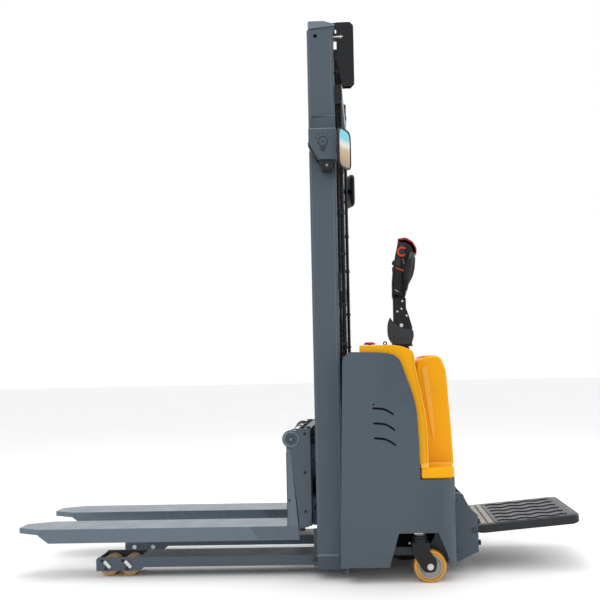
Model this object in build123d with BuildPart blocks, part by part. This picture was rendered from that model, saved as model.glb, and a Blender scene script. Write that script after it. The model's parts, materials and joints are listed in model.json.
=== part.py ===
"""Walkie stacker: an electric pedestrian pallet stacker with a fold-down ride platform.

Millimetres, +Z up. The origin lies on the floor, midway along the truck's length and width.
X runs from the fork tips (negative) to the operator's platform (positive), so the operator's
left hand is at -Y. Stations along X are dimensioned from the fork heel, as on a drawing.
"""

from build123d import *
from math import cos, radians, sin
import os

# ------------------------------------------------------------------ driving dimensions
FORK_LENGTH = 1150.0
FORK_OUTER = 285.0
FORK_INNER = 105.0
FORK_TOP = 209.0
FORK_BOTTOM = 152.0
FORK_WALL = 6.0

LEG_TOP = 85.0
LEG_BOTTOM = 42.0
LEG_OUTER = 265.0
LEG_INNER = 125.0
LEG_FRONT = -813.0
LEG_REAR = 105.0
LEG_WALL = 6.0

MAST_FRONT = 125.0
MAST_REAR = 233.0
MAST_HALF = 342.0
MAST_BOTTOM = 56.0
MAST_TOP = 2243.0
MAST_DEPTH = 50.0
FLANGE = 12.0
WEB = 8.0
MAST_GAP = 4.0

BODY_HALF = 415.0
BODY_REAR = 686.0
BODY_BOTTOM = 64.0
BODY_CORNER = 50.0
PANEL = 4.0
CONSOLE_TOP = 949.0
CONSOLE_HALF = 398.0
COLUMN_HALF = 300.0
DECK_PLATE_Z = 290.0

STEER_X = 498.0
DRIVE_WHEEL_R = 115.0
CASTER_X = 540.0
CASTER_Y = 385.0
CASTER_TRAIL = 38.0
CASTER_WHEEL_R = 65.0
LOAD_WHEEL_R = 40.0
LOAD_WHEEL_XS = (-768.0, -680.0)

SHAFT_X = 22.0
SHAFT_Z = 570.0
SHAFT_R = 25.0

DECK_PIVOT_X = 774.0
DECK_PIVOT_Z = 176.0
DECK_LENGTH = 446.0
DECK_HALF = 234.0
DECK_ABOVE = 12.0
DECK_BELOW = 22.0
DECK_RISE_DEG = 5.0

TILLER_X = 498.0
TILLER_Z = 1043.0

RUN_FIT = 0.05

REAR_REACH = (DECK_PIVOT_X + DECK_LENGTH * cos(radians(DECK_RISE_DEG))
              + DECK_BELOW * sin(radians(DECK_RISE_DEG)))
HEEL = (FORK_LENGTH - REAR_REACH) / 2

# PLAN looks down on the floor and SIDE looks at the truck's left side; both measure X from
# the fork heel. SIDE's own Y is height, and it is moved to where a plate starts.
PLAN = Plane(origin=(HEEL, 0, 0))
SIDE = Plane(origin=(HEEL, 0, 0), x_dir=(1, 0, 0), z_dir=(0, -1, 0))
LEFT, RIGHT = -1, 1
SIDES = {"left": LEFT, "right": RIGHT}

os.makedirs("parts", exist_ok=True)


def side_at(y):
    """The side plane moved to this Y; an extrusion from it runs towards -Y."""
    return SIDE.offset(-y)


def finish(builder, label):
    """Names a finished sub-part and writes it."""
    builder.part.label = label
    export_step(builder.part, f"parts/{label}.step")


def finish_group(solids, label):
    """Writes a sub-part made of several solids that are welded or laid face to face."""
    group = Compound(label=label, children=solids)
    export_step(group, f"parts/{label}.step")


def block(x_range, y_range, z_range):
    """A rectangular bar or plate given by its ranges."""
    (x0, x1), (y0, y1), (z0, z1) = x_range, y_range, z_range
    with BuildPart() as bar:
        with BuildSketch(PLAN.offset(z0)):
            with Locations(((x0 + x1) / 2, (y0 + y1) / 2)):
                Rectangle(x1 - x0, y1 - y0)
        extrude(amount=z1 - z0)
    return bar.part


def plate(points, y_range):
    """A flat plate cut to an outline on the side view, spanning a range of Y."""
    low, high = sorted(y_range)
    with BuildPart() as cut:
        with BuildSketch(side_at(high)):
            with BuildLine():
                Polyline(*points, close=True)
            make_face()
        extrude(amount=high - low)
    return cut.part


def cross_bar(x, z, y_range, radius, bore=0.0):
    """A round bar along Y, or a tube or ring if it has a bore."""
    low, high = sorted(y_range)
    with BuildPart() as bar:
        with BuildSketch(side_at(high)):
            with Locations((x, z)):
                Circle(radius)
                if bore:
                    Circle(bore, mode=Mode.SUBTRACT)
        extrude(amount=high - low)
    return bar.part


def post(x, y, z_range, radius, bore=0.0):
    """A round upright, or a tube or ring if it has a bore."""
    with BuildPart() as upright:
        with BuildSketch(PLAN.offset(z_range[0])):
            with Locations((x, y)):
                Circle(radius)
                if bore:
                    Circle(bore, mode=Mode.SUBTRACT)
        extrude(amount=z_range[1] - z_range[0])
    return upright.part


def span(side, inner, outer):
    """A Y range on one side of the truck, from distances off the centre line."""
    return tuple(sorted((side * inner, side * outer)))


# ------------------------------------------------------------------ straddle legs
LEG_MID = (LEG_OUTER + LEG_INNER) / 2
POCKET_REAR = -628.0
AXLE_R = 10.0
AXLE_Z = LOAD_WHEEL_R


def make_leg_side(side, inner, outer):
    """One upright wall of a leg, with a snipped front end and two axle holes."""
    with BuildPart() as wall:
        with BuildSketch(side_at(max(span(side, inner, outer)))):
            with BuildLine():
                Polyline(
                    (LEG_REAR, LEG_BOTTOM),
                    (LEG_REAR, LEG_TOP),
                    (LEG_FRONT + 8, LEG_TOP),
                    (LEG_FRONT, LEG_TOP - 8),
                    (LEG_FRONT, 28),
                    (POCKET_REAR, 28),
                    (POCKET_REAR + 18, LEG_BOTTOM),
                    close=True,
                )
            make_face()
            with Locations(*[(x, AXLE_Z) for x in LOAD_WHEEL_XS]):
                Circle(AXLE_R, mode=Mode.SUBTRACT)
        extrude(amount=outer - inner)
    return wall.part


for name, side in SIDES.items():
    leg_walls = [
        make_leg_side(side, LEG_OUTER - LEG_WALL, LEG_OUTER),
        make_leg_side(side, LEG_INNER, LEG_INNER + LEG_WALL),
        block((POCKET_REAR, LEG_REAR), span(side, LEG_INNER + LEG_WALL, LEG_OUTER - LEG_WALL),
              (LEG_TOP - LEG_WALL, LEG_TOP)),
        block((LEG_FRONT, LEG_FRONT + LEG_WALL / 2),
              span(side, LEG_INNER + LEG_WALL, LEG_OUTER - LEG_WALL), (60, LEG_TOP - 8)),
        block((POCKET_REAR, POCKET_REAR + LEG_WALL),
              span(side, LEG_INNER + LEG_WALL, LEG_OUTER - LEG_WALL),
              (LEG_BOTTOM, LEG_TOP - LEG_WALL)),
    ]
    finish_group(leg_walls, f"{name}_leg")

axles = [
    cross_bar(x, AXLE_Z, span(side, LEG_INNER - 5, LEG_OUTER + 5), AXLE_R)
    for side in SIDES.values()
    for x in LOAD_WHEEL_XS
]
finish_group(axles, "load_wheel_axles")

# ------------------------------------------------------------------ load wheels
LOAD_WHEEL_WIDTH = 84.0
LOAD_HUB_R = 30.0

for name, side in SIDES.items():
    for place, x in zip(("front", "rear"), LOAD_WHEEL_XS):
        wheel_y = span(side, LEG_MID - LOAD_WHEEL_WIDTH / 2, LEG_MID + LOAD_WHEEL_WIDTH / 2)
        with BuildPart() as tread:
            with BuildSketch(side_at(max(wheel_y))):
                with Locations((x, LOAD_WHEEL_R)):
                    Circle(LOAD_WHEEL_R)
                    Circle(LOAD_HUB_R, mode=Mode.SUBTRACT)
            extrude(amount=LOAD_WHEEL_WIDTH)
            rims = tread.edges().filter_by(GeomType.CIRCLE).filter_by(
                lambda edge: edge.radius > LOAD_HUB_R + 1)
            fillet(rims, radius=4)
        hub = cross_bar(x, LOAD_WHEEL_R, (wheel_y[0] - 3, wheel_y[1] + 3), LOAD_HUB_R,
                        AXLE_R + RUN_FIT)
        finish_group([tread.part, hub], f"{name}_{place}_load_wheel")

# ------------------------------------------------------------------ welded base frame
BULKHEAD_X = (246.0, 252.0)
SOLE_TOP = MAST_BOTTOM
SILL_HALF = 290.0
SILL_TOP = 62.0
SILL_GUSSET = (244.0, 262.0)
REAR_PLATE_X = (650.0, 658.0)
PANEL_INSIDE = BODY_HALF - PANEL
RAIL = (268.0, 276.0)
CASTER_PLATE = (200.0, 212.0)
KINGPIN_R = 12.0
WEB_OVER_CASTER = (330.0, 338.0)
LID_Z = 899.0
LID = 6.0
LID_REAR = 314.0

frame = [
    block((LEG_REAR, MAST_FRONT), (-SILL_HALF, SILL_HALF), (LEG_BOTTOM, SILL_TOP)),
    block((MAST_FRONT, BULKHEAD_X[0]), (-MAST_HALF, MAST_HALF), (LEG_BOTTOM, SOLE_TOP)),
    block(BULKHEAD_X, (-PANEL_INSIDE, PANEL_INSIDE), (LEG_BOTTOM, 460)),
    block(BULKHEAD_X, (-390, 390), (460, LID_Z)),
    block((BULKHEAD_X[0], LID_REAR), (-400, 400), (LID_Z, LID_Z + LID)),
    block(REAR_PLATE_X, (-360, 360), (66, 400)),
]
for side in SIDES.values():
    frame += [
        block((LEG_REAR, MAST_FRONT), span(side, *SILL_GUSSET), (SILL_TOP, 190)),
        block((BULKHEAD_X[1], REAR_PLATE_X[0]), span(side, *RAIL), (80, DECK_PLATE_Z)),
        block((478, 612), span(side, RAIL[1], 404), CASTER_PLATE),
        block((478, 612), span(side, *WEB_OVER_CASTER), (CASTER_PLATE[1], DECK_PLATE_Z)),
        post(CASTER_X, side * CASTER_Y, (186, CASTER_PLATE[0]), 24, KINGPIN_R + RUN_FIT),
    ]

SLEW_R = 90.0
with BuildPart() as drive_deck:
    with BuildSketch(PLAN.offset(DECK_PLATE_Z)):
        with Locations(((BULKHEAD_X[1] + REAR_PLATE_X[0]) / 2, 0)):
            Rectangle(REAR_PLATE_X[0] - BULKHEAD_X[1], 2 * PANEL_INSIDE - 10)
        with Locations((STEER_X, 0)):
            Circle(SLEW_R, mode=Mode.SUBTRACT)
    extrude(amount=12)
frame.append(drive_deck.part)
finish_group(frame, "base_frame")

# ------------------------------------------------------------------ outer mast
BEAM_X = (MAST_REAR, MAST_REAR + 12)
HEAD_BEAM_X = (252.0, 264.0)
HEAD_BEAM_Z = (1950.0, 2014.0)
UPPER_BEAM_Z = (1180.0, 1250.0)
LOWER_BEAM_Z = (640.0, 700.0)
CHAIN_Y = 110.0
PULLEY_X = 186.0
PULLEY_Z = 2180.0
CHAIN_R = 56.0
CHAIN_WIDTH = 16.0
CHAIN_THICK = 10.0
CHAIN_ANCHOR_Z = 2010.0
CHAIN_REAR_X = PULLEY_X + CHAIN_R
CHAIN_FRONT_X = PULLEY_X - CHAIN_R
HOOD = (286.0, 322.0)
HOOD_WALL = 4.0
CAP_TOP = 2280.0


def make_flange(side, outer, depth, x_range, z_range, nose, at_front):
    """One flange of a mast channel, rounded on its outboard corner."""
    with BuildPart() as strip:
        with BuildSketch(PLAN.offset(z_range[0])):
            with Locations((sum(x_range) / 2, side * (outer - depth / 2))):
                Rectangle(x_range[1] - x_range[0], depth)
        extrude(amount=z_range[1] - z_range[0])
        outboard = strip.edges().filter_by(Axis.Z).group_by(Axis.Y)[0 if side == LEFT else -1]
        fillet(outboard.sort_by(Axis.X)[0 if at_front else -1], radius=nose)
    return strip.part


def make_channel(side, outer, depth, x_range, z_range, nose):
    """A mast channel: a web outboard between two flanges that point inboard."""
    front, rear = x_range
    return [
        make_flange(side, outer, depth, (front, front + FLANGE), z_range, nose, True),
        make_flange(side, outer, depth, (rear - FLANGE, rear), z_range, nose, False),
        block((front + FLANGE, rear - FLANGE), span(side, outer - WEB, outer), z_range),
    ]


for name, side in SIDES.items():
    channel = make_channel(side, MAST_HALF, MAST_DEPTH, (MAST_FRONT, MAST_REAR),
                           (MAST_BOTTOM, MAST_TOP), 7)
    cap = plate([(131, MAST_TOP), (131, CAP_TOP - 3), (196, CAP_TOP), (239, 2266),
                 (239, MAST_TOP)], span(side, 293, 337))
    finish_group([*channel, cap], f"{name}_mast_channel")

beams = [
    block(HEAD_BEAM_X, (-MAST_HALF, MAST_HALF), HEAD_BEAM_Z),
    block(BEAM_X, (-MAST_HALF, MAST_HALF), UPPER_BEAM_Z),
    block(BEAM_X, (-MAST_HALF, MAST_HALF), LOWER_BEAM_Z),
]
for side in SIDES.values():
    beams += [
        block((MAST_REAR, HEAD_BEAM_X[0]), span(side, 300, MAST_HALF), HEAD_BEAM_Z),
        block((HEAD_BEAM_X[0] - 18, HEAD_BEAM_X[0]), span(side, CHAIN_Y - 12, CHAIN_Y + 12),
              (CHAIN_ANCHOR_Z - 50, CHAIN_ANCHOR_Z)),
    ]
beams.append(block((MAST_REAR, 262), span(LEFT, HOOD[1] - HOOD_WALL - 8, HOOD[1] - HOOD_WALL),
                   (2205, 2235)))
finish_group(beams, "mast_crossbeams")

HOOD_OUTLINE = ((266, 2018), (246, 2120), (246, CAP_TOP), (302, CAP_TOP), (316, 2266), (316, 2036),
                (299, 2018))
hood_inside = span(LEFT, HOOD[0] + HOOD_WALL, HOOD[1] - HOOD_WALL)
hood = [
    plate(HOOD_OUTLINE, span(LEFT, HOOD[1] - HOOD_WALL, HOOD[1])),
    plate(HOOD_OUTLINE, span(LEFT, HOOD[0], HOOD[0] + HOOD_WALL)),
    block((316 - HOOD_WALL, 316), hood_inside, (2036, 2266)),
    block((246, 302), hood_inside, (CAP_TOP - HOOD_WALL, CAP_TOP)),
    plate([(302, CAP_TOP - HOOD_WALL), (302, CAP_TOP), (316, 2266), (316 - HOOD_WALL, 2266)],
          hood_inside),
]
finish_group(hood, "mast_hood")

HOSE_Y = 304.0
HOSE_TOP = 2150.0
GUARD_X = 254.5
GUARD_R = 9.0
PIPE_X = 239.5
PIPE_R = 6.0
hose_guard = []
for side in SIDES.values():
    for z_range in ((LID_Z + LID, HEAD_BEAM_Z[0]), (HEAD_BEAM_Z[1], HOSE_TOP)):
        hose_guard.append(post(GUARD_X, side * HOSE_Y, z_range, GUARD_R))
    for z_range in ((LOWER_BEAM_Z[1], UPPER_BEAM_Z[0]), (UPPER_BEAM_Z[1], HEAD_BEAM_Z[0]),
                    (HEAD_BEAM_Z[1], HOSE_TOP)):
        hose_guard.append(post(PIPE_X, side * HOSE_Y, z_range, PIPE_R))
finish_group(hose_guard, "hose_conduits")

# ------------------------------------------------------------------ lift cylinders
CYL_X = 170.0
CYL_Y = 185.0
CYL_R = 27.0
ROD_R = 15.0
BARREL_TOP = 1700.0
INNER_BEAM_Z = 2060.0

barrels = []
for side in SIDES.values():
    with BuildPart() as barrel:
        with BuildSketch(PLAN.offset(SOLE_TOP)):
            with Locations((CYL_X, side * CYL_Y)):
                Circle(CYL_R)
        extrude(amount=BARREL_TOP - SOLE_TOP)
        with BuildSketch(PLAN.offset(SOLE_TOP + 14)):
            with Locations((CYL_X, side * CYL_Y)):
                Circle(CYL_R - 6)
        extrude(amount=BARREL_TOP - SOLE_TOP - 54, mode=Mode.SUBTRACT)
        with BuildSketch(PLAN.offset(BARREL_TOP - 45)):
            with Locations((CYL_X, side * CYL_Y)):
                Circle(ROD_R + RUN_FIT)
        extrude(amount=50, mode=Mode.SUBTRACT)
    barrels.append(barrel.part)
finish_group(barrels, "cylinder_barrels")

rods = [post(CYL_X, side * CYL_Y, (130, INNER_BEAM_Z), ROD_R) for side in SIDES.values()]
finish_group(rods, "cylinder_rods")

# ------------------------------------------------------------------ inner mast
INNER_HALF = MAST_HALF - MAST_DEPTH - MAST_GAP
INNER_DEPTH = 44.0
INNER_X = (MAST_FRONT + 3, MAST_REAR - 3)
INNER_Z = (125.0, 2240.0)
MAST_MID = (MAST_FRONT + MAST_REAR) / 2
ROLLER_AXLE_R = 12.0
INNER_ROLLER_Z = 190.0
INNER_BEAM_X = (204.0, 228.0)
INNER_INSIDE = INNER_HALF - WEB
PULLEY_R = 60.0

inner_channels = []
for side in SIDES.values():
    inner_channels += make_channel(side, INNER_HALF, INNER_DEPTH, INNER_X, INNER_Z, 3)
inner_channels += [
    cross_bar(MAST_MID, INNER_ROLLER_Z, span(side, INNER_HALF, MAST_HALF - WEB - 3), ROLLER_AXLE_R)
    for side in SIDES.values()
]
finish_group(inner_channels, "inner_mast_channels")

INNER_FLANGE_TIP = INNER_HALF - INNER_DEPTH
inner_beams = [
    block(INNER_BEAM_X, (-INNER_FLANGE_TIP, INNER_FLANGE_TIP), (130, 200)),
    block(INNER_BEAM_X, (-INNER_FLANGE_TIP, INNER_FLANGE_TIP), (1090, 1150)),
    block((143, INNER_BEAM_X[1]), (-INNER_FLANGE_TIP, INNER_FLANGE_TIP),
          (INNER_BEAM_Z, INNER_BEAM_Z + 45)),
]
for side in SIDES.values():
    for inner, outer in ((CHAIN_Y - 24, CHAIN_Y - 14), (CHAIN_Y + 14, CHAIN_Y + 24)):
        inner_beams.append(
            plate([(160, INNER_BEAM_Z + 45), (212, INNER_BEAM_Z + 45), (206, PULLEY_Z + 25),
                   (166, PULLEY_Z + 25)], span(side, inner, outer)))
pulley_pins = [
    cross_bar(PULLEY_X, PULLEY_Z, span(side, CHAIN_Y - 14, CHAIN_Y + 14), ROLLER_AXLE_R)
    for side in SIDES.values()
]
finish_group(inner_beams + pulley_pins, "inner_mast_crossbeams")

pulleys = []
for side in SIDES.values():
    with BuildPart() as pulley:
        with BuildSketch(side_at(side * CHAIN_Y + 12)):
            with Locations((PULLEY_X, PULLEY_Z)):
                Circle(PULLEY_R)
                Circle(ROLLER_AXLE_R + RUN_FIT, mode=Mode.SUBTRACT)
        extrude(amount=24)
        with BuildSketch(side_at(side * CHAIN_Y + 8.5)):
            with Locations((PULLEY_X, PULLEY_Z)):
                Circle(PULLEY_R + 1)
                Circle(CHAIN_R - CHAIN_THICK / 2 - 0.5, mode=Mode.SUBTRACT)
        extrude(amount=17, mode=Mode.SUBTRACT)
    pulleys.append(pulley.part)
finish_group(pulleys, "chain_pulleys")


def make_roller_pair(z, radius, inner, outer, label):
    """A pair of mast guide rollers on one axis, left and right."""
    rollers = [
        cross_bar(MAST_MID, z, span(side, inner, outer), radius, ROLLER_AXLE_R + RUN_FIT)
        for side in SIDES.values()
    ]
    finish_group(rollers, label)


OUTER_CAVITY = (MAST_REAR - MAST_FRONT) / 2 - FLANGE
INNER_CAVITY = (INNER_X[1] - INNER_X[0]) / 2 - FLANGE
make_roller_pair(INNER_ROLLER_Z, OUTER_CAVITY - 0.4, INNER_HALF + 8, MAST_HALF - WEB - 5,
                 "inner_mast_rollers")

# ------------------------------------------------------------------ lift chains
CARRIAGE_ANCHOR_Z = 560.0


def make_chain_runs(x, z_range, label):
    """The straight runs of both lift chains on one side of the pulleys."""
    runs = [
        block((x - CHAIN_THICK / 2, x + CHAIN_THICK / 2),
              span(side, CHAIN_Y - CHAIN_WIDTH / 2, CHAIN_Y + CHAIN_WIDTH / 2), z_range)
        for side in SIDES.values()
    ]
    finish_group(runs, label)


make_chain_runs(CHAIN_REAR_X, (CHAIN_ANCHOR_Z, PULLEY_Z), "rear_lift_chains")
make_chain_runs(CHAIN_FRONT_X, (CARRIAGE_ANCHOR_Z, PULLEY_Z), "front_lift_chains")

# ------------------------------------------------------------------ fork carriage
CHEEK = (FORK_OUTER, FORK_OUTER + 8)
BRACKET = (222.0, 234.0)
ROLLER_ZS = {"lower": 230.0, "upper": 500.0}
CROSS_X = (52.0, 101.0)

cheeks = []
for side in SIDES.values():
    with BuildPart() as cheek:
        with BuildSketch(side_at(max(span(side, *CHEEK)))):
            with BuildLine():
                Polyline((43, 613), (101, 611), (101, 255), (89, 205), (51, 202), (19, 525),
                         close=True)
            make_face()
            with Locations((SHAFT_X, SHAFT_Z)):
                Circle(37)
                Circle(SHAFT_R, mode=Mode.SUBTRACT)
        extrude(amount=CHEEK[1] - CHEEK[0])
    cheeks.append(cheek.part)
bars = [
    block(CROSS_X, (-FORK_OUTER, FORK_OUTER), z_range)
    for z_range in ((545, 609), (385, 430), (208, 262))
]
brackets = []
for side in SIDES.values():
    brackets.append(block((CROSS_X[1], CHAIN_FRONT_X + 10),
                          span(side, CHAIN_Y - 12, CHAIN_Y + 12), (545, CARRIAGE_ANCHOR_Z)))
    for z in ROLLER_ZS.values():
        brackets.append(block((CROSS_X[1], 200), span(side, *BRACKET), (z - 28, z + 38)))
        brackets.append(cross_bar(MAST_MID, z, span(side, BRACKET[1], INNER_INSIDE - 4),
                                  ROLLER_AXLE_R))
    brackets.append(block((92, CROSS_X[1]), span(side, *BRACKET), (262, 385)))
    brackets.append(block((92, CROSS_X[1]), span(side, *BRACKET), (430, 545)))
finish_group(cheeks + bars + brackets, "carriage_frame")

for place, z in ROLLER_ZS.items():
    make_roller_pair(z, INNER_CAVITY - 0.4, INNER_FLANGE_TIP + 2, INNER_INSIDE - 6,
                     f"{place}_carriage_rollers")

with BuildPart() as carriage_shaft:
    with BuildSketch(side_at(300)):
        with Locations((SHAFT_X, SHAFT_Z)):
            Circle(SHAFT_R)
    extrude(amount=600)
    chamfer(carriage_shaft.edges().filter_by(GeomType.CIRCLE), length=3)
finish(carriage_shaft, "carriage_shaft")

# ------------------------------------------------------------------ forks
TIP_START = -1052.0
TIP_INSET = 48.0


def make_fork_deck(side):
    """The fork's top plate, narrowed in plan towards the tip."""
    inner, outer = FORK_INNER, FORK_OUTER
    with BuildPart() as deck:
        with BuildSketch(PLAN.offset(FORK_TOP - FORK_WALL)):
            with BuildLine():
                Polyline(
                    (0, side * inner),
                    (TIP_START, side * inner),
                    (-FORK_LENGTH, side * (inner + TIP_INSET)),
                    (-FORK_LENGTH, side * (outer - TIP_INSET)),
                    (TIP_START, side * outer),
                    (0, side * outer),
                    close=True,
                )
            make_face()
        extrude(amount=FORK_WALL)
    return deck.part


def make_fork_tip(side):
    """The solid nose under the end of the top plate."""
    inner, outer = FORK_INNER, FORK_OUTER
    with BuildPart() as nose:
        with BuildSketch(PLAN.offset(186)):
            with BuildLine():
                Polyline(
                    (TIP_START, side * inner),
                    (-FORK_LENGTH, side * (inner + TIP_INSET)),
                    (-FORK_LENGTH, side * (outer - TIP_INSET)),
                    (TIP_START, side * outer),
                    close=True,
                )
            make_face()
        extrude(amount=FORK_TOP - FORK_WALL - 186)
    return nose.part


def make_hanger(side, inner, outer):
    """An ear that hangs the fork on the carriage shaft."""
    with BuildPart() as ear:
        with BuildSketch(side_at(max(span(side, inner, outer)))):
            with BuildLine():
                Polyline((0, 520), (19, 520), (50, 545), (50, 580), (0, 590), close=True)
            make_face()
            with Locations((SHAFT_X, SHAFT_Z)):
                Circle(30)
                Circle(SHAFT_R, mode=Mode.SUBTRACT)
        extrude(amount=outer - inner)
    return ear.part


SHANK_TOP = 534.0
for name, side in SIDES.items():
    solids = [make_fork_deck(side), make_fork_tip(side)]
    walls = ((FORK_INNER, FORK_INNER + FORK_WALL), (FORK_OUTER - FORK_WALL, FORK_OUTER))
    for inner, outer in walls:
        y_range = span(side, inner, outer)
        under = FORK_TOP - FORK_WALL
        solids.append(plate([(0, under), (TIP_START, under), (TIP_START, 184), (-1008, 150),
                             (0, FORK_BOTTOM)], y_range))
        solids.append(plate([(0, FORK_BOTTOM), (0, SHANK_TOP), (19, 525), (48, 160),
                             (48, FORK_BOTTOM)], y_range))
    between = span(side, FORK_INNER + FORK_WALL, FORK_OUTER - FORK_WALL)
    solids.append(block((0, 12), between, (FORK_TOP - FORK_WALL, 520)))
    solids.append(make_hanger(side, FORK_INNER + FORK_WALL, FORK_INNER + FORK_WALL + 12))
    solids.append(make_hanger(side, FORK_OUTER - FORK_WALL - 12, FORK_OUTER - FORK_WALL))
    finish_group(solids, f"{name}_fork")

# ------------------------------------------------------------------ battery and hydraulics
BAY_Z = DECK_PLATE_Z + 12
batteries = []
for side in SIDES.values():
    with BuildPart() as cell:
        with BuildSketch(PLAN.offset(BAY_Z)):
            with Locations((336, side * 176)):
                RectangleRounded(148, 330, 8)
        extrude(amount=240)
        with BuildSketch(PLAN.offset(BAY_Z + 240)):
            with Locations((300, side * 60), (300, side * 292)):
                Circle(10)
        extrude(amount=18)
    batteries.append(cell.part)
finish_group(batteries, "battery_blocks")

TANK_HEIGHT = 104.0
with BuildPart() as hydraulic_tank:
    with BuildSketch(PLAN.offset(BAY_Z)):
        with Locations((530, -215)):
            RectangleRounded(190, 170, 12)
    extrude(amount=TANK_HEIGHT)

power_unit = [
    hydraulic_tank.part,
    block((460, 545), (-255, -175), (BAY_Z + TANK_HEIGHT, BAY_Z + TANK_HEIGHT + 70)),
    post(502, -215, (BAY_Z + TANK_HEIGHT + 70, BAY_Z + TANK_HEIGHT + 270), 54),
]
finish_group(power_unit, "hydraulic_power_unit")

with BuildPart() as motor_controller:
    with BuildSketch(PLAN.offset(BAY_Z)):
        with Locations((530, 215)):
            Rectangle(180, 150)
    extrude(amount=24)
    with BuildSketch(PLAN.offset(BAY_Z + 24)):
        with Locations((530, 215)):
            RectangleRounded(170, 130, 10)
    extrude(amount=60)
finish(motor_controller, "motor_controller")

# ------------------------------------------------------------------ bodywork
CUTOUT = ((416, 50), (416, 62), (456, 199), (613, 199), (662, 73), (662, 50))
LOUVRES = (
    ((364, 697), (408, 692), (443, 672)),
    ((366, 637), (411, 632), (447, 610)),
    ((368, 578), (413, 572), (450, 549)),
)
LOUVRE_HALF = 3.0
LEDGE_Z = 411.0

for name, side in SIDES.items():
    with BuildPart() as panel:
        with BuildSketch(PLAN.offset(BODY_BOTTOM)):
            with BuildLine():
                Line((222, side * BODY_HALF), (BODY_REAR - BODY_CORNER, side * BODY_HALF))
                RadiusArc((BODY_REAR - BODY_CORNER, side * BODY_HALF),
                          (BODY_REAR, side * (BODY_HALF - BODY_CORNER)), side * BODY_CORNER)
                Line((BODY_REAR, side * (BODY_HALF - BODY_CORNER)), (BODY_REAR, side * 268))
                Line((BODY_REAR, side * 268), (BODY_REAR - PANEL, side * 268))
                Line((BODY_REAR - PANEL, side * 268),
                     (BODY_REAR - PANEL, side * (BODY_HALF - BODY_CORNER)))
                RadiusArc((BODY_REAR - PANEL, side * (BODY_HALF - BODY_CORNER)),
                          (BODY_REAR - BODY_CORNER, side * PANEL_INSIDE),
                          -side * (BODY_CORNER - PANEL))
                Line((BODY_REAR - BODY_CORNER, side * PANEL_INSIDE), (222, side * PANEL_INSIDE))
                Line((222, side * PANEL_INSIDE), (222, side * BODY_HALF))
            make_face()
        extrude(amount=930 - BODY_BOTTOM)
        with BuildSketch(side_at(BODY_HALF + 5)):
            with BuildLine():
                Polyline((710, LEDGE_Z), (546, LEDGE_Z), (544, 548), (539, 647))
                Spline((539, 647), (529, 722), (508, 793), (486, 855), (472, 888), (452, 906),
                       (425, 914), (390, 918.5))
                Line((390, 918.5), (284, 922.5))
                RadiusArc((284, 922.5), (245, 880), -44)
                Polyline((245, 880), (222, BODY_BOTTOM), (222, 50), (710, 50), (710, LEDGE_Z))
            make_face()
        extrude(amount=2 * BODY_HALF + 10, mode=Mode.INTERSECT)
        with BuildSketch(side_at(side * (BODY_HALF - PANEL / 2) + 10)):
            with BuildLine():
                Polyline(*CUTOUT, close=True)
            make_face()
            for start, middle, end in LOUVRES:
                with BuildLine() as slot:
                    ThreePointArc(start, middle, end)
                    offset(amount=LOUVRE_HALF, side=Side.BOTH)
                make_face()
        extrude(amount=20, mode=Mode.SUBTRACT)
    finish(panel, f"{name}_side_panel")

COLLAR_R = 37.0
ESTOP = (355.0, -150.0)
STOP_STEM_R = 7.0
with BuildPart() as top_cover:
    with BuildSketch(side_at(CONSOLE_HALF)):
        with BuildLine():
            Polyline((314, 470), (314, CONSOLE_TOP), (441, CONSOLE_TOP), (494, 937), (520, 927),
                     (533, 905), (537, 858), (557, 757), (571, 677), (578, 607), (580, 470),
                     close=True)
        make_face()
    extrude(amount=2 * CONSOLE_HALF)
    crests = top_cover.edges().group_by(Axis.Y)[0] + top_cover.edges().group_by(Axis.Y)[-1]
    crests = crests.filter_by(lambda edge: edge.center().Z > 900)
    fillet(crests, radius=14)
    offset(amount=-PANEL, openings=top_cover.faces().sort_by(Axis.Z)[0])
    with BuildSketch(PLAN.offset(900)):
        with Locations((STEER_X, 0)):
            Circle(COLLAR_R)
        with Locations(ESTOP):
            Circle(STOP_STEM_R + 1)
    extrude(amount=60, mode=Mode.SUBTRACT)
    add(block((312, 320), (-CONSOLE_HALF + PANEL, CONSOLE_HALF - PANEL), (460, 700)),
        mode=Mode.SUBTRACT)
finish(top_cover, "top_cover")

BAND_TOP = 456.0
FOOT_FRONT = 548.0
SHELF_FRONT = 572.0
SHELF = 6.0
COLUMN_CORNER = 26.0
COLUMN_BACK = ((545, 825), (545, 888), (582, 898), (632, 902), (648, 887), (661, 856), (668, 825),
               (675, 717), (684, 592))
COLUMN_FRONT = ((579, 607), (572, 677), (558, 757))


def make_column(inset, bottom):
    """The rear column's outline drawn in by a wall thickness, standing on a given height."""
    half = COLUMN_HALF - inset
    with BuildPart() as volume:
        with BuildSketch(side_at(half)):
            with BuildLine():
                Polyline((691, bottom), (581, bottom), *COLUMN_FRONT, *COLUMN_BACK, close=True)
            make_face()
            if inset:
                offset(amount=-inset, kind=Kind.INTERSECTION, mode=Mode.REPLACE)
        extrude(amount=2 * half)
        rear_edges = volume.edges().filter_by(
            lambda edge: abs(edge.center().Y) > half - 1
            and edge.center().X > HEEL + 650 and edge.center().Z > bottom + inset + 1)
        chamfer(rear_edges, length=COLUMN_CORNER - inset / 2)
    return volume.part


with BuildPart() as column_cover:
    add(make_column(0, BAND_TOP))
    add(make_column(PANEL, BAND_TOP - 2 * PANEL), mode=Mode.SUBTRACT)

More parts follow.
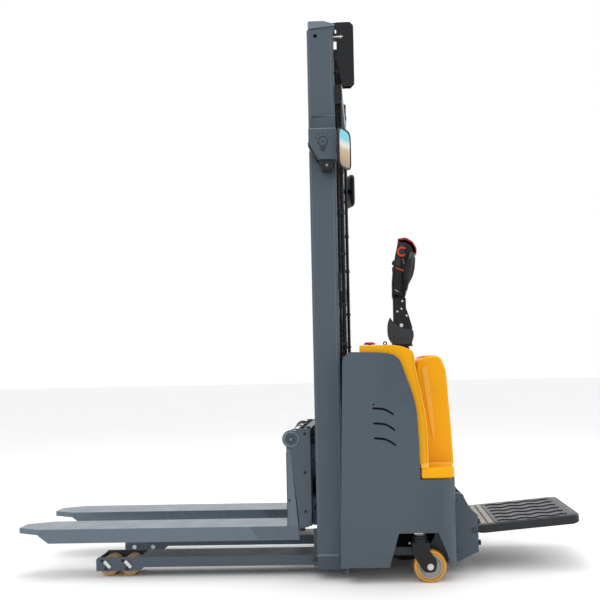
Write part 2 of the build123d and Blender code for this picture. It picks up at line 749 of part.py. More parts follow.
FLAT_REAR = BODY_REAR - BODY_CORNER
FLAT_HALF = PANEL_INSIDE - BODY_CORNER
skirt_z = (LEDGE_Z, BAND_TOP - SHELF)
with BuildPart() as cover_shelf:
    with BuildSketch(PLAN.offset(BAND_TOP - SHELF)):
        with BuildLine():
            Polyline((FLAT_REAR, -PANEL_INSIDE), (SHELF_FRONT, -PANEL_INSIDE),
                     (SHELF_FRONT, PANEL_INSIDE), (FLAT_REAR, PANEL_INSIDE))
            RadiusArc((FLAT_REAR, PANEL_INSIDE), (BODY_REAR, FLAT_HALF), BODY_CORNER)
            Line((BODY_REAR, FLAT_HALF), (BODY_REAR, -FLAT_HALF))
            RadiusArc((BODY_REAR, -FLAT_HALF), (FLAT_REAR, -PANEL_INSIDE), BODY_CORNER)
        make_face()
    extrude(amount=SHELF)
rear_parts = [
    column_cover.part,
    cover_shelf.part,
    block((BODY_REAR - PANEL, BODY_REAR), (-FLAT_HALF, FLAT_HALF), skirt_z),
]
for side in SIDES.values():
    rear_parts.append(block((FOOT_FRONT, FLAT_REAR), span(side, PANEL_INSIDE - PANEL, PANEL_INSIDE),
                            skirt_z))
    with BuildPart() as skirt_corner:
        with BuildSketch(PLAN.offset(skirt_z[0])):
            with BuildLine():
                RadiusArc((FLAT_REAR, side * PANEL_INSIDE), (BODY_REAR, side * FLAT_HALF),
                          side * BODY_CORNER)
                Line((BODY_REAR, side * FLAT_HALF), (BODY_REAR - PANEL, side * FLAT_HALF))
                RadiusArc((BODY_REAR - PANEL, side * FLAT_HALF),
                          (FLAT_REAR, side * (PANEL_INSIDE - PANEL)),
                          -side * (BODY_CORNER - PANEL))
                Line((FLAT_REAR, side * (PANEL_INSIDE - PANEL)), (FLAT_REAR, side * PANEL_INSIDE))
            make_face()
        extrude(amount=skirt_z[1] - skirt_z[0])
    rear_parts.append(skirt_corner.part)
finish_group(rear_parts, "rear_cover")

# ------------------------------------------------------------------ console fittings
KEY = (423.0, -100.0)
GAUGE = (372.0, 110.0)
fittings = [
    post(*ESTOP, (CONSOLE_TOP, CONSOLE_TOP + 3), 19, STOP_STEM_R + 0.5),
    post(*KEY, (CONSOLE_TOP, CONSOLE_TOP + 4), 11, 4.3),
    block((GAUGE[0] - 28, GAUGE[0] + 28), (GAUGE[1] - 34, GAUGE[1] + 34),
          (CONSOLE_TOP, CONSOLE_TOP + 4)),
    post(STEER_X, 0, (905, CONSOLE_TOP), COLLAR_R, 29.5),
]
finish_group(fittings, "console_fittings")

with BuildPart() as stop_button:
    with BuildSketch(PLAN.offset(CONSOLE_TOP - 2)):
        with Locations(ESTOP):
            Circle(STOP_STEM_R)
    extrude(amount=12)
    with BuildSketch(PLAN.offset(CONSOLE_TOP + 8)):
        with Locations(ESTOP):
            Circle(26)
    extrude(amount=12)
    fillet(stop_button.edges().group_by(Axis.Z)[-1], radius=5)
finish(stop_button, "stop_button")

KEY_BOW_Z = CONSOLE_TOP + 14
with BuildPart() as key:
    with BuildSketch(PLAN.offset(CONSOLE_TOP + 1)):
        with Locations(KEY):
            Rectangle(6, 2)
    extrude(amount=5)
    with BuildSketch(side_at(KEY[1] + 1.5)):
        with Locations((KEY[0], KEY_BOW_Z)):
            Circle(9.5)
            Circle(3.5, mode=Mode.SUBTRACT)
    extrude(amount=3)
finish(key, "key")

# ------------------------------------------------------------------ lamps and mirrors
LAMP_OUT = 400.0
MIRROR_X = 268.0
MIRROR_HINGE_X = 260.0
MIRROR_Y = 386.0
MIRROR_ANGLE = 25.0

lamp_boxes = []
lamps = []
for side in SIDES.values():
    lamp_boxes += [
        plate([(141, 1822), (141, 1876), (154, 1889), (235, 1889), (235, 1822)],
              span(side, MAST_HALF, MAST_HALF + 8)),
        plate([(128, 1822), (128, 1765), (165, 1699), (239, 1697), (239, 1822)],
              span(side, MAST_HALF, LAMP_OUT)),
        block((239, MIRROR_HINGE_X - 8), span(side, MIRROR_Y - 12, MIRROR_Y + 12), (1728, 1752)),
    ]
    lamps.append(block((172, 224), span(side, 350, 394), (1651, 1697)))
finish_group(lamp_boxes, "lamp_boxes")
finish_group(lamps, "work_lamps")

for name, side in SIDES.items():
    facing = Plane(origin=(HEEL + MIRROR_X, side * MIRROR_Y, 1740),
                   x_dir=(sin(radians(MIRROR_ANGLE)), -side * cos(radians(MIRROR_ANGLE)), 0),
                   z_dir=(cos(radians(MIRROR_ANGLE)), side * sin(radians(MIRROR_ANGLE)), 0))
    with BuildPart() as mirror:
        with BuildSketch(facing.offset(-6)):
            RectangleRounded(106, 160, 16)
        extrude(amount=14)
        with BuildSketch(PLAN.offset(1728)):
            with Locations((MIRROR_HINGE_X, side * MIRROR_Y)):
                Circle(7)
        extrude(amount=24)
    finish(mirror, f"{name}_mirror")

# ------------------------------------------------------------------ drive unit and steering
DRIVE_HALF = 38.0
DRIVE_AXLE_R = 20.0
GEARBOX_Y = (44.0, 96.0)
COLUMN_R = 28.0
MOTOR_TOP = 554.0

gearbox = [
    plate([(438, 60), (438, 240), (558, 240), (558, 60), (528, 30), (468, 30)], GEARBOX_Y),
    post(STEER_X, 0, (240, 304), SLEW_R - 6),
    cross_bar(STEER_X, DRIVE_WHEEL_R, (-DRIVE_HALF - 8, GEARBOX_Y[0]), DRIVE_AXLE_R),
]
finish_group(gearbox, "drive_gearbox")

with BuildPart() as drive_wheel:
    with BuildSketch(side_at(DRIVE_HALF)):
        with Locations((STEER_X, DRIVE_WHEEL_R)):
            Circle(DRIVE_WHEEL_R)
            Circle(DRIVE_AXLE_R + RUN_FIT, mode=Mode.SUBTRACT)
    extrude(amount=2 * DRIVE_HALF)
    shoulders = drive_wheel.edges().filter_by(GeomType.CIRCLE).filter_by(
        lambda edge: edge.radius > DRIVE_AXLE_R + 1)
    fillet(shoulders, radius=6)
finish(drive_wheel, "drive_wheel")

with BuildPart() as drive_motor:
    with BuildSketch(PLAN.offset(304)):
        with Locations((STEER_X, 0)):
            Circle(70)
    extrude(amount=MOTOR_TOP - 304)
    chamfer(drive_motor.edges().group_by(Axis.Z)[-1], length=8)
finish(drive_motor, "drive_motor")

YOKE_BOTTOM = 958.0
YOKE_FLOOR = 984.0
DISH_R = 52.0
LUG_HALF = 28.0
LUG_R = 26.0
SHELL_Y = (43.0, 49.0)
PIN_R = 9.0
with BuildPart() as yoke_base:
    with BuildSketch(PLAN.offset(YOKE_BOTTOM)):
        with Locations((STEER_X, 0)):
            RectangleRounded(86, 2 * SHELL_Y[1], 20)
    extrude(amount=YOKE_FLOOR - YOKE_BOTTOM)

with BuildPart() as yoke_lug:
    with BuildSketch(side_at(LUG_HALF)):
        with BuildLine():
            Polyline((TILLER_X + LUG_R, TILLER_Z), (TILLER_X + LUG_R, YOKE_FLOOR),
                     (TILLER_X - LUG_R, YOKE_FLOOR), (TILLER_X - LUG_R, TILLER_Z))
            RadiusArc((TILLER_X - LUG_R, TILLER_Z), (TILLER_X + LUG_R, TILLER_Z), LUG_R)
        make_face()
        with Locations((TILLER_X, TILLER_Z)):
            Circle(PIN_R + RUN_FIT, mode=Mode.SUBTRACT)
    extrude(amount=2 * LUG_HALF)

yoke = [
    post(STEER_X, 0, (MOTOR_TOP, YOKE_BOTTOM), COLUMN_R),
    post(STEER_X, 0, (CONSOLE_TOP + 1.5, YOKE_BOTTOM), DISH_R, COLUMN_R),
    yoke_base.part,
    yoke_lug.part,
]
for side in SIDES.values():
    with BuildPart() as shell_cheek:
        with BuildSketch(side_at(max(span(side, *SHELL_Y)))):
            with BuildLine():
                Polyline((456, YOKE_FLOOR), (540, YOKE_FLOOR), (552, 1008), (545, 1026))
                RadiusArc((545, 1026), (447, 1081), -150)
                RadiusArc((447, 1081), (456, YOKE_FLOOR), 105)
            make_face()
        extrude(amount=SHELL_Y[1] - SHELL_Y[0])
    yoke.append(shell_cheek.part)
finish_group(yoke, "tiller_yoke")

# ------------------------------------------------------------------ tiller
ARM_Y = (30.0, 40.0)
HEAD_HALF = 55.0
HEAD_FLOOR = 1168.0
ARM_HEART_Z = 1100.0

arm = [block((464, 522), (-ARM_Y[0], ARM_Y[0]), (ARM_HEART_Z, HEAD_FLOOR))]
for side in SIDES.values():
    with BuildPart() as arm_plate:
        with BuildSketch(side_at(max(span(side, *ARM_Y)))):
            with BuildLine():
                Polyline((464, 1040), (464, HEAD_FLOOR), (514, HEAD_FLOOR), (512, 1146),
                         (537, 1068), (549, 1028), (530, 1008), (480, 1008), close=True)
            make_face()
            with Locations((TILLER_X, TILLER_Z)):
                Circle(PIN_R, mode=Mode.SUBTRACT)
        extrude(amount=ARM_Y[1] - ARM_Y[0])
    arm.append(arm_plate.part)
finish_group(arm, "tiller_arm")

with BuildPart() as tiller_pin:
    with BuildSketch(side_at(ARM_Y[1] + 2.5)):
        with Locations((TILLER_X, TILLER_Z)):
            Circle(PIN_R)
    extrude(amount=2 * ARM_Y[1] + 5)
    chamfer(tiller_pin.edges().filter_by(GeomType.CIRCLE), length=1.5)
finish(tiller_pin, "tiller_pin")

HEAD_BUTTON_Z = {"lift_button": 1326.0, "lower_button": 1296.0}
BUTTON_R = 9.0
BUTTON_X = (463.0, 482.0)
STEM_HALF = 16.0
POCKET_Z = 1376.0
with BuildPart() as tiller_head:
    with BuildSketch(side_at(HEAD_HALF)):
        with BuildLine():
            Polyline((460, HEAD_FLOOR), (460, 1240), (466, 1300), (480, 1370), (489, 1412),
                     (524, 1412), (544, 1400), (555, 1382), (560, 1354), (568, 1350), (563, 1295),
                     (554, 1260), (535, 1225), (517, HEAD_FLOOR), close=True)
        make_face()
    extrude(amount=2 * HEAD_HALF)
    flanks = tiller_head.edges().group_by(Axis.Y)[0] + tiller_head.edges().group_by(Axis.Y)[-1]
    chamfer(flanks, length=7)
    with BuildSketch(PLAN.offset(POCKET_Z)):
        with Locations((524, 0)):
            Rectangle(2 * STEM_HALF + 2, 2 * STEM_HALF + 2)
    extrude(amount=40, mode=Mode.SUBTRACT)
    for z in HEAD_BUTTON_Z.values():
        with BuildSketch(Plane(origin=(HEEL + BUTTON_X[1] + 6, 0, z), x_dir=(0, 1, 0),
                               z_dir=(-1, 0, 0))):
            Circle(BUTTON_R + 0.5)
        extrude(amount=60, mode=Mode.SUBTRACT)
finish(tiller_head, "tiller_head")

BELLY_HALF = 48.0
BELLY_OUTLINE = ((489, 1418), (491, 1430), (526, 1434), (556, 1415), (573, 1386), (573, 1360),
                 (562, 1360), (560.5, 1388), (548, 1406), (526, 1418))
belly = [
    plate(BELLY_OUTLINE, (-BELLY_HALF, BELLY_HALF)),
    block((524 - STEM_HALF, 524), (-STEM_HALF, STEM_HALF), (1390, 1418)),
]
finish_group(belly, "belly_button")

for name, z in HEAD_BUTTON_Z.items():
    with BuildPart() as head_button:
        with BuildSketch(Plane(origin=(HEEL + BUTTON_X[1], 0, z), x_dir=(0, 1, 0),
                               z_dir=(-1, 0, 0))):
            Circle(BUTTON_R)
        extrude(amount=BUTTON_X[1] - BUTTON_X[0])
        fillet(head_button.edges().group_by(Axis.X)[0], radius=2)
    finish(head_button, name)

GRIP_LEAN = 12.0
GRIP_X = 530.0
GRIP_Z = 1275.0
GRIP_THICK = 26.0
GRIP_OUTER = ((55, 92), (100, 92), (142, 50), (142, -50), (100, -92), (55, -92))
GRIP_INNER = ((55, 62), (88, 62), (112, 38), (112, -38), (88, -62), (55, -62))
grip_plane = Plane(origin=(HEEL + GRIP_X, 0, GRIP_Z), x_dir=(0, 1, 0),
                   z_dir=(cos(radians(GRIP_LEAN)), 0, -sin(radians(GRIP_LEAN))))
grips = []
for side in SIDES.values():
    rims = list(zip(GRIP_OUTER, GRIP_INNER))
    for (outer_0, inner_0), (outer_1, inner_1) in zip(rims, rims[1:]):
        corners = [(side * u, v) for u, v in (outer_0, outer_1, inner_1, inner_0)]
        with BuildPart() as bar:
            with BuildSketch(grip_plane.offset(-GRIP_THICK / 2)):
                with BuildLine():
                    Polyline(*corners, close=True)
                make_face()
            extrude(amount=GRIP_THICK)
        grips.append(bar.part)
finish_group(grips, "hand_grips")

THROTTLE_X = 506.0
THROTTLE_Z = 1366.0
THROTTLE_R = 22.0
throttle = [
    cross_bar(THROTTLE_X, THROTTLE_Z, span(side, HEAD_HALF + 0.5, HEAD_HALF + 26), THROTTLE_R)
    for side in SIDES.values()
]
finish_group(throttle, "thumb_throttle")

# ------------------------------------------------------------------ casters
WHEEL_X = CASTER_X + CASTER_TRAIL
CASTER_HALF = 23.0
CASTER_AXLE_R = 8.0

for name, side in SIDES.items():
    crown = post(CASTER_X, side * CASTER_Y, (160, 185), 33)
    kingpin = post(CASTER_X, side * CASTER_Y, (185, 198), KINGPIN_R)
    caster = [crown, kingpin]
    for inner, outer in ((-30, -25), (25, 30)):
        y_range = (side * CASTER_Y + inner, side * CASTER_Y + outer)
        caster.append(plate([(CASTER_X - 30, 160), (CASTER_X - 30, 139), (WHEEL_X - 20, 52),
                             (WHEEL_X + 16, 52), (WHEEL_X + 16, 80), (CASTER_X + 32, 160)],
                            y_range))
    caster.append(block((CASTER_X - 30, CASTER_X + 30),
                        (side * CASTER_Y - 25, side * CASTER_Y + 25), (150, 160)))
    caster.append(cross_bar(WHEEL_X, CASTER_WHEEL_R,
                            (side * CASTER_Y - 25, side * CASTER_Y + 25), CASTER_AXLE_R))
    caster += [
        cross_bar(WHEEL_X, CASTER_WHEEL_R, sorted((side * CASTER_Y + s * 30,
                                                   side * CASTER_Y + s * 35)), 10)
        for s in SIDES.values()
    ]
    finish_group(caster, f"{name}_caster_fork")
    with BuildPart() as caster_tyre:
        with BuildSketch(side_at(side * CASTER_Y + CASTER_HALF)):
            with Locations((WHEEL_X, CASTER_WHEEL_R)):
                Circle(CASTER_WHEEL_R)
                Circle(48, mode=Mode.SUBTRACT)
        extrude(amount=2 * CASTER_HALF)
        rims = caster_tyre.edges().filter_by(GeomType.CIRCLE).filter_by(
            lambda edge: edge.radius > CASTER_WHEEL_R - 1)
        fillet(rims, radius=9)
    caster_hub = cross_bar(WHEEL_X, CASTER_WHEEL_R,
                           (side * CASTER_Y - CASTER_HALF, side * CASTER_Y + CASTER_HALF), 48,
                           CASTER_AXLE_R + RUN_FIT)
    finish_group([caster_tyre.part, caster_hub], f"{name}_caster_wheel")

# ------------------------------------------------------------------ ride platform
BOX_REAR = 748.0
EAR = (240.0, 262.0)
step = [
    plate([(BODY_REAR - PANEL, 60), (BODY_REAR - PANEL, 236), (BOX_REAR, 236), (BOX_REAR, 78)],
          (-EAR[0], EAR[0])),
]
for side in SIDES.values():
    with BuildPart() as ear:
        with BuildSketch(side_at(max(span(side, *EAR)))):
            with BuildLine():
                Polyline((BODY_REAR - PANEL, 42), (698, 45), (789, 87), (789, 236), (757, 268),
                         (725, 326), (705, 331), (BODY_REAR - PANEL, 331), close=True)
            make_face()
        extrude(amount=EAR[1] - EAR[0])
    step.append(ear.part)
    step.append(cross_bar(DECK_PIVOT_X, DECK_PIVOT_Z, span(side, 150, EAR[0]), 8))
finish_group(step, "step_box")

deck_plane = Plane(origin=(HEEL + DECK_PIVOT_X, 0, DECK_PIVOT_Z),
                   x_dir=(cos(radians(DECK_RISE_DEG)), 0, sin(radians(DECK_RISE_DEG))),
                   z_dir=(0, -1, 0))
deck_top = Plane(origin=deck_plane.origin, x_dir=deck_plane.x_dir,
                 z_dir=deck_plane.y_dir).offset(DECK_ABOVE)
with BuildPart() as ride_deck:
    with BuildSketch(deck_plane.offset(-DECK_HALF)):
        with BuildLine():
            Polyline((0, DECK_ABOVE), (DECK_LENGTH, DECK_ABOVE), (DECK_LENGTH, -DECK_BELOW + 6),
                     (DECK_LENGTH - 30, -DECK_BELOW), (40, -DECK_BELOW), (0, -15))
            RadiusArc((0, -15), (-14.5, 0), 15)
            Line((-14.5, 0), (-12, DECK_ABOVE))
            Line((-12, DECK_ABOVE), (0, DECK_ABOVE))
        make_face()
        Circle(8 + RUN_FIT, mode=Mode.SUBTRACT)
    extrude(amount=2 * DECK_HALF)
    with BuildSketch(deck_top.offset(-50)):
        with Locations((DECK_LENGTH / 2 - 100, 0)):
            RectangleRounded(DECK_LENGTH + 200, 2 * DECK_HALF, 34)
    extrude(amount=100, mode=Mode.INTERSECT)
finish(ride_deck, "ride_deck")

with BuildPart() as deck_mat:
    with BuildSketch(deck_top):
        with Locations((DECK_LENGTH / 2 + 26, 0)):
            RectangleRounded(DECK_LENGTH - 76, 2 * DECK_HALF - 24, 26)
    extrude(amount=6)
finish(deck_mat, "deck_mat")
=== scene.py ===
import json
import math
from math import cos, pi, radians, sin

import bmesh
import bpy
from mathutils import Matrix, Vector


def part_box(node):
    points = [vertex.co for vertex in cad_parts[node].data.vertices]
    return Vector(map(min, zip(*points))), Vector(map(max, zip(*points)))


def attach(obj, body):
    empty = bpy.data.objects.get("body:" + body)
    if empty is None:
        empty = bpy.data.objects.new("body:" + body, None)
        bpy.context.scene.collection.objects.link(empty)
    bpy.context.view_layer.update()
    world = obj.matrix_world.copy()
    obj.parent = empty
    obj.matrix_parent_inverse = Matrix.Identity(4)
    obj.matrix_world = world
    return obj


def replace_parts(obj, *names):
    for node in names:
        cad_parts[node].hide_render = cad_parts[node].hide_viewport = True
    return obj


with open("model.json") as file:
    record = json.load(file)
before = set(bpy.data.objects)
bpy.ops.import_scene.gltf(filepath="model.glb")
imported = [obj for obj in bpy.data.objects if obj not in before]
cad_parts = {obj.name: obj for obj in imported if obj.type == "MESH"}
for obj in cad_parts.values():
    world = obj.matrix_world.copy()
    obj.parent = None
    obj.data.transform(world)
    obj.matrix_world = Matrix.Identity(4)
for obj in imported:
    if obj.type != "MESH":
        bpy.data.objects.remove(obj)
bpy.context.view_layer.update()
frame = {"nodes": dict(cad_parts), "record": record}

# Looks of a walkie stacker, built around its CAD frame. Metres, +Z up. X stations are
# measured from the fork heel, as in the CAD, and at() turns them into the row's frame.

FORK_LENGTH = 1.15
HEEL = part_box("left_fork")[0].x + FORK_LENGTH
SIDES = {"left": -1, "right": 1}


def at(x, y, z):
    """A point given by its station from the fork heel."""
    return Vector((HEEL + x, y, z))


# ---- camera
CAMERA_STATION = (0.3615, -3.5341, 0.8639)
CAMERA_YAW = radians(1.793)
CAMERA_PITCH = radians(0.418)
CAMERA_ROLL = radians(-1.232)
CAMERA_LENS = 47.09
CAMERA_SHIFT = (-0.0781, 0.1019)

camera_data = bpy.data.cameras.new("camera")
camera_data.lens = CAMERA_LENS
camera_data.sensor_width = 36.0
camera_data.shift_x, camera_data.shift_y = CAMERA_SHIFT
camera_data.clip_end = 60.0
camera = bpy.data.objects.new("camera", camera_data)
camera.matrix_world = (Matrix.Translation(at(*CAMERA_STATION))
                       @ Matrix.Rotation(CAMERA_YAW, 4, "Z")
                       @ Matrix.Rotation(pi / 2 + CAMERA_PITCH, 4, "X")
                       @ Matrix.Rotation(CAMERA_ROLL, 4, "Z"))
bpy.context.scene.collection.objects.link(camera)
bpy.context.scene.camera = camera


# ---- materials
class Nodes:
    """A small helper that adds shader nodes and links them."""

    def __init__(self, name):
        self.material = bpy.data.materials.new(name)
        self.material.use_nodes = True
        self.tree = self.material.node_tree
        self.shader = next(n for n in self.tree.nodes if n.type == "BSDF_PRINCIPLED")

    def add(self, kind, **values):
        node = self.tree.nodes.new(kind)
        for key, value in values.items():
            if key in node.inputs:
                node.inputs[key].default_value = value
            else:
                setattr(node, key, value)
        return node

    def join(self, source, output, target, socket):
        self.tree.links.new(source.outputs[output], target.inputs[socket])

    def noise(self, scale, detail=3.0, stretch=(1, 1, 1)):
        place = self.add("ShaderNodeTexCoord")
        mapping = self.add("ShaderNodeMapping")
        mapping.inputs["Scale"].default_value = stretch
        self.join(place, "Object", mapping, "Vector")
        texture = self.add("ShaderNodeTexNoise", Scale=scale, Detail=detail)
        self.join(mapping, "Vector", texture, "Vector")
        return texture

    def ramp(self, source, output, stops):
        node = self.add("ShaderNodeValToRGB")
        for element, (position, colour) in zip(node.color_ramp.elements, stops):
            element.position = position
            element.color = (*colour, 1.0)
        self.join(source, output, node, "Fac")
        return node

    def vary(self, texture, socket, low, high):
        """Drives a shader socket between two tones."""
        self.join(self.ramp(texture, "Fac", ((0.3, low), (0.7, high))), "Color", self.shader, socket)

    def rough(self, texture, low, high):
        self.vary(texture, "Roughness", (low,) * 3, (high,) * 3)

    def bump(self, texture, strength, distance):
        node = self.add("ShaderNodeBump", Strength=strength, Distance=distance)
        self.join(texture, "Fac", node, "Height")
        self.join(node, "Normal", self.shader, "Normal")


def shade(colour, amount):
    """The colour made lighter or darker by a share."""
    return tuple(min(1.0, max(0.0, c * amount)) for c in colour)


def painted(name, colour, rough=0.42, metal=0.0, edge=1.5, peel=0.0004, shine=0.32):
    """Powder coat or bare metal: cloudy tone, fine orange peel, and sharp edges painted lighter as a painted
    highlight.
    """
    n = Nodes(name)
    n.shader.inputs["Metallic"].default_value = metal
    n.shader.inputs["Specular IOR Level"].default_value = shine
    n.shader.inputs["Coat Roughness"].default_value = 0.12
    clouds = n.noise(2.3, 5.0)
    tone = n.ramp(clouds, "Fac", ((0.3, shade(colour, 1 - 0.1)), (0.7, shade(colour, 1 + 0.1))))
    # The edge factor paints sharp edges lighter: a painted highlight along the bends.
    edge_pointiness = n.add("ShaderNodeNewGeometry")
    edge_highlight_mask = n.ramp(edge_pointiness, "Pointiness", ((0.52, (0, 0, 0)), (0.6, (1, 1, 1))))
    mix = n.add("ShaderNodeMix", data_type="RGBA")
    n.join(edge_highlight_mask, "Color", mix, "Factor")
    n.tree.links.new(tone.outputs["Color"], mix.inputs[6])
    mix.inputs[7].default_value = (*shade(colour, edge), 1.0)
    n.tree.links.new(mix.outputs[2], n.shader.inputs["Base Color"])
    smudge = n.noise(9.0, 4.0)
    n.rough(smudge, rough - 0.06, rough + 0.06)
    n.bump(n.noise(620.0, 2.0), 0.18, peel)
    return n.material


def moulded(name, colour, rough=0.3, coat=0.4, grain=0.0003, shine=0.25):
    """Moulded plastic or rubber with a fine surface grain."""
    n = Nodes(name)
    n.shader.inputs["Specular IOR Level"].default_value = shine
    n.shader.inputs["Coat Weight"].default_value = coat
    n.shader.inputs["Coat Roughness"].default_value = 0.06
    n.vary(n.noise(3.1, 3.0), "Base Color", shade(colour, 1 - 0.05), shade(colour, 1 + 0.05))
    n.rough(n.noise(14.0, 4.0), rough - 0.05, rough + 0.05)
    n.bump(n.noise(420.0, 3.0), 0.2, grain)
    return n.material


def turned(name, colour, rough=0.25, stretch=(40, 1, 40)):
    """Machined metal with fine marks along one direction."""
    n = Nodes(name)
    n.shader.inputs["Metallic"].default_value = 1.0
    marks = n.noise(60.0, 4.0, stretch)
    n.vary(marks, "Base Color", shade(colour, 0.8), shade(colour, 1.1))
    n.rough(marks, rough, rough + 0.15)
    n.bump(marks, 0.15, 0.0002)
    return n.material


def glass(name, colour, transmission=0.9):
    n = Nodes(name)
    n.shader.inputs["Roughness"].default_value = 0.05
    n.shader.inputs["Transmission Weight"].default_value = transmission
    n.vary(n.noise(25.0, 2.0), "Base Color", shade(colour, 0.94), colour)
    return n.material


def silvered(name, low, high, ground, haze_tone, sky):
    """Mirror glass with a painted reflection: its base colour runs from a sandy ground at the foot, over pale
    haze, to a blue sky at the top.
    """
    n = Nodes(name)
    n.shader.inputs["Metallic"].default_value = 1.0
    haze = n.noise(18.0, 3.0)
    place = n.add("ShaderNodeTexCoord")
    split = n.add("ShaderNodeSeparateXYZ")
    n.join(place, "Object", split, "Vector")
    height = n.add("ShaderNodeMapRange")
    height.inputs["From Min"].default_value = low
    height.inputs["From Max"].default_value = high
    n.join(split, "Z", height, "Value")
    wave = n.add("ShaderNodeMix", data_type="FLOAT")
    wave.inputs["Factor"].default_value = 0.18
    n.tree.links.new(height.outputs["Result"], wave.inputs[2])
    n.tree.links.new(haze.outputs["Fac"], wave.inputs[3])
    tone = n.add("ShaderNodeValToRGB")
    tone.color_ramp.elements.new(0.5)
    tone.color_ramp.elements.new(0.6)
    # Painted reflection: ground, haze and sky tones stacked by height.
    stops = ((0.12, shade(ground, 0.6)), (0.45, ground), (0.56, haze_tone), (0.7, sky))
    for element, (position, colour) in zip(tone.color_ramp.elements, stops):
        element.position = position
        element.color = (*colour, 1.0)
    n.tree.links.new(wave.outputs[0], tone.inputs["Fac"])
    n.join(tone, "Color", n.shader, "Base Color")
    n.rough(haze, 0.03, 0.07)
    return n.material


SLATE = (0.04, 0.054, 0.069)
MATERIALS = {}
for build, name, *look, options in (
    (painted, "slate_paint", SLATE, {}),
    # fork_paint is the slate paint made lighter and shinier: painted light from above on the forks.
    (painted, "fork_paint", (0.046, 0.063, 0.079), dict(rough=0.27, edge=2.0, shine=0.5)),
    (moulded, "yellow_cover", (0.78, 0.355, 0.0004), dict(rough=0.3, coat=0.12, shine=0.12)),
    (moulded, "black_plastic", (0.006, 0.007, 0.009), dict(rough=0.42, coat=0.03)),
    (painted, "black_paint", (0.006, 0.007, 0.008), dict(rough=0.4, edge=3.0, shine=0.25)),
    (turned, "bright_steel", (0.62, 0.62, 0.6), {}),
    (turned, "chain_steel", (0.1, 0.095, 0.09), dict(rough=0.35, stretch=(4, 4, 4))),
    (turned, "chrome_rod", (0.8, 0.8, 0.82), dict(rough=0.08, stretch=(1, 1, 30))),
    (painted, "cast_grey", (0.06, 0.06, 0.064), dict(rough=0.6, peel=0.0012)),
    (moulded, "amber_tread", (0.56, 0.27, 0.04), dict(rough=0.38, coat=0.1)),
    (moulded, "black_tread", (0.012, 0.012, 0.013), dict(rough=0.6, coat=0.0)),
    (moulded, "mat_rubber", (0.003, 0.005, 0.011), dict(rough=0.28, coat=0.0, shine=0.3)),
    (moulded, "red_plastic", (0.3, 0.006, 0.005), dict(rough=0.32, coat=0.08)),
    (moulded, "orange_plastic", (0.6, 0.05, 0.006), dict(rough=0.34, coat=0.08)),
    (moulded, "grey_plastic", (0.032, 0.042, 0.052), dict(rough=0.46, coat=0.0)),
    # mirror_glass carries a painted reflection of ground, haze and sky.
    (silvered, "mirror_glass", 1.66, 1.82, (0.6, 0.46, 0.3), (0.82, 0.82, 0.74), (0.22, 0.66, 0.78), {}),
    (moulded, "lamp_plastic", (0.008, 0.008, 0.009), dict(rough=0.25, coat=0.15)),
    (moulded, "strip_grey", (0.34, 0.33, 0.28), dict(rough=0.6, coat=0.0, grain=0.001)),
    (glass, "lens", (0.55, 0.6, 0.66), 0.6, {}),
    (painted, "hub_grey", (0.3, 0.3, 0.28), dict(rough=0.4, metal=0.2)),
    # Near-black painted shade, put where only shade is seen: louvre slots, holes, wheel arches.
    (painted, "dark_gap", (0.003, 0.003, 0.004), dict(rough=0.8, shine=0.05)),
    (painted, "icon_grey", (0.012, 0.013, 0.015), dict(rough=0.5)),
    # A lighter copy of the slate paint: painted highlight for lit facets, rims and edge lines.
    (painted, "slate_light", (0.115, 0.14, 0.165), {}),
    (painted, "weld_grey", (0.034, 0.043, 0.052), dict(rough=0.5, peel=0.001)),
    # A lighter copy of the cover yellow: painted highlight on rims, streaks and fillets.
    (moulded, "yellow_bright", (0.78, 0.4, 0.025), dict(rough=0.3, coat=0.3)),
    (moulded, "rim_amber", (0.26, 0.09, 0.01), dict(rough=0.45, coat=0.05)),
    (painted, "white_steel", (0.6, 0.61, 0.6), dict(rough=0.35, metal=0.3)),
    (moulded, "teal_plastic", (0.012, 0.034, 0.04), dict(rough=0.4, coat=0.1)),
    (moulded, "rib_grey", (0.26, 0.28, 0.3), dict(rough=0.5, coat=0.05)),
):
    MATERIALS[name] = build(name, *look, **options)
SLOT_OF = {s["node"]: s["material_slot"] for s in frame["record"]["subparts"]}
for node_name, node_object in frame["nodes"].items():
    node_object.data.materials.clear()
    node_object.data.materials.append(MATERIALS[SLOT_OF[node_name]])


# ---- mesh tools
BEVEL_ANGLE = radians(38)


def soften(piece, width, segments=3):
    """Rounds a piece's hard edges, so that they catch the light."""
    bevel = piece.modifiers.new("edge", "BEVEL")
    bevel.width = width
    bevel.segments = segments
    bevel.limit_method = "ANGLE"
    bevel.angle_limit = BEVEL_ANGLE
    bevel.harden_normals = True
    return piece


def piece_from(name, mesh, material, bevel=0.0, segments=3, body="chassis"):
    """Makes an object from a bmesh, shades it, rounds it and lets it ride on a body."""
    bmesh.ops.recalc_face_normals(mesh, faces=mesh.faces)
    data = bpy.data.meshes.new(name)
    mesh.to_mesh(data)
    mesh.free()
    data.shade_smooth()
    data.set_sharp_from_angle(angle=BEVEL_ANGLE)
    data.materials.append(MATERIALS[material])
    piece = bpy.data.objects.new(name, data)
    bpy.context.scene.collection.objects.link(piece)
    if bevel:
        soften(piece, bevel, segments)
    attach(piece, body)
    return piece


def stitch(mesh, rings, closed=False):
    """Joins rings of vertices by faces, and caps both ends of an open run."""
    count = len(rings[0])
    for first, second in list(zip(rings, rings[1:])) + ([(rings[-1], rings[0])] if closed else []):
        for i in range(count):
            j = (i + 1) % count
            mesh.faces.new((first[i], first[j], second[j], second[i]))
    if not closed:
        mesh.faces.new(rings[0][::-1])
        mesh.faces.new(rings[-1])
    return mesh


def span(side, near, far):
    """The range of Y between two distances from the middle, on one side."""
    return sorted((side * near, side * far))


def rectangle(left, low, right, high):
    """The four corners of a rectangle."""
    return [(left, low), (right, low), (right, high), (left, high)]


def new_meshes(count):
    return [bmesh.new() for _ in range(count)]


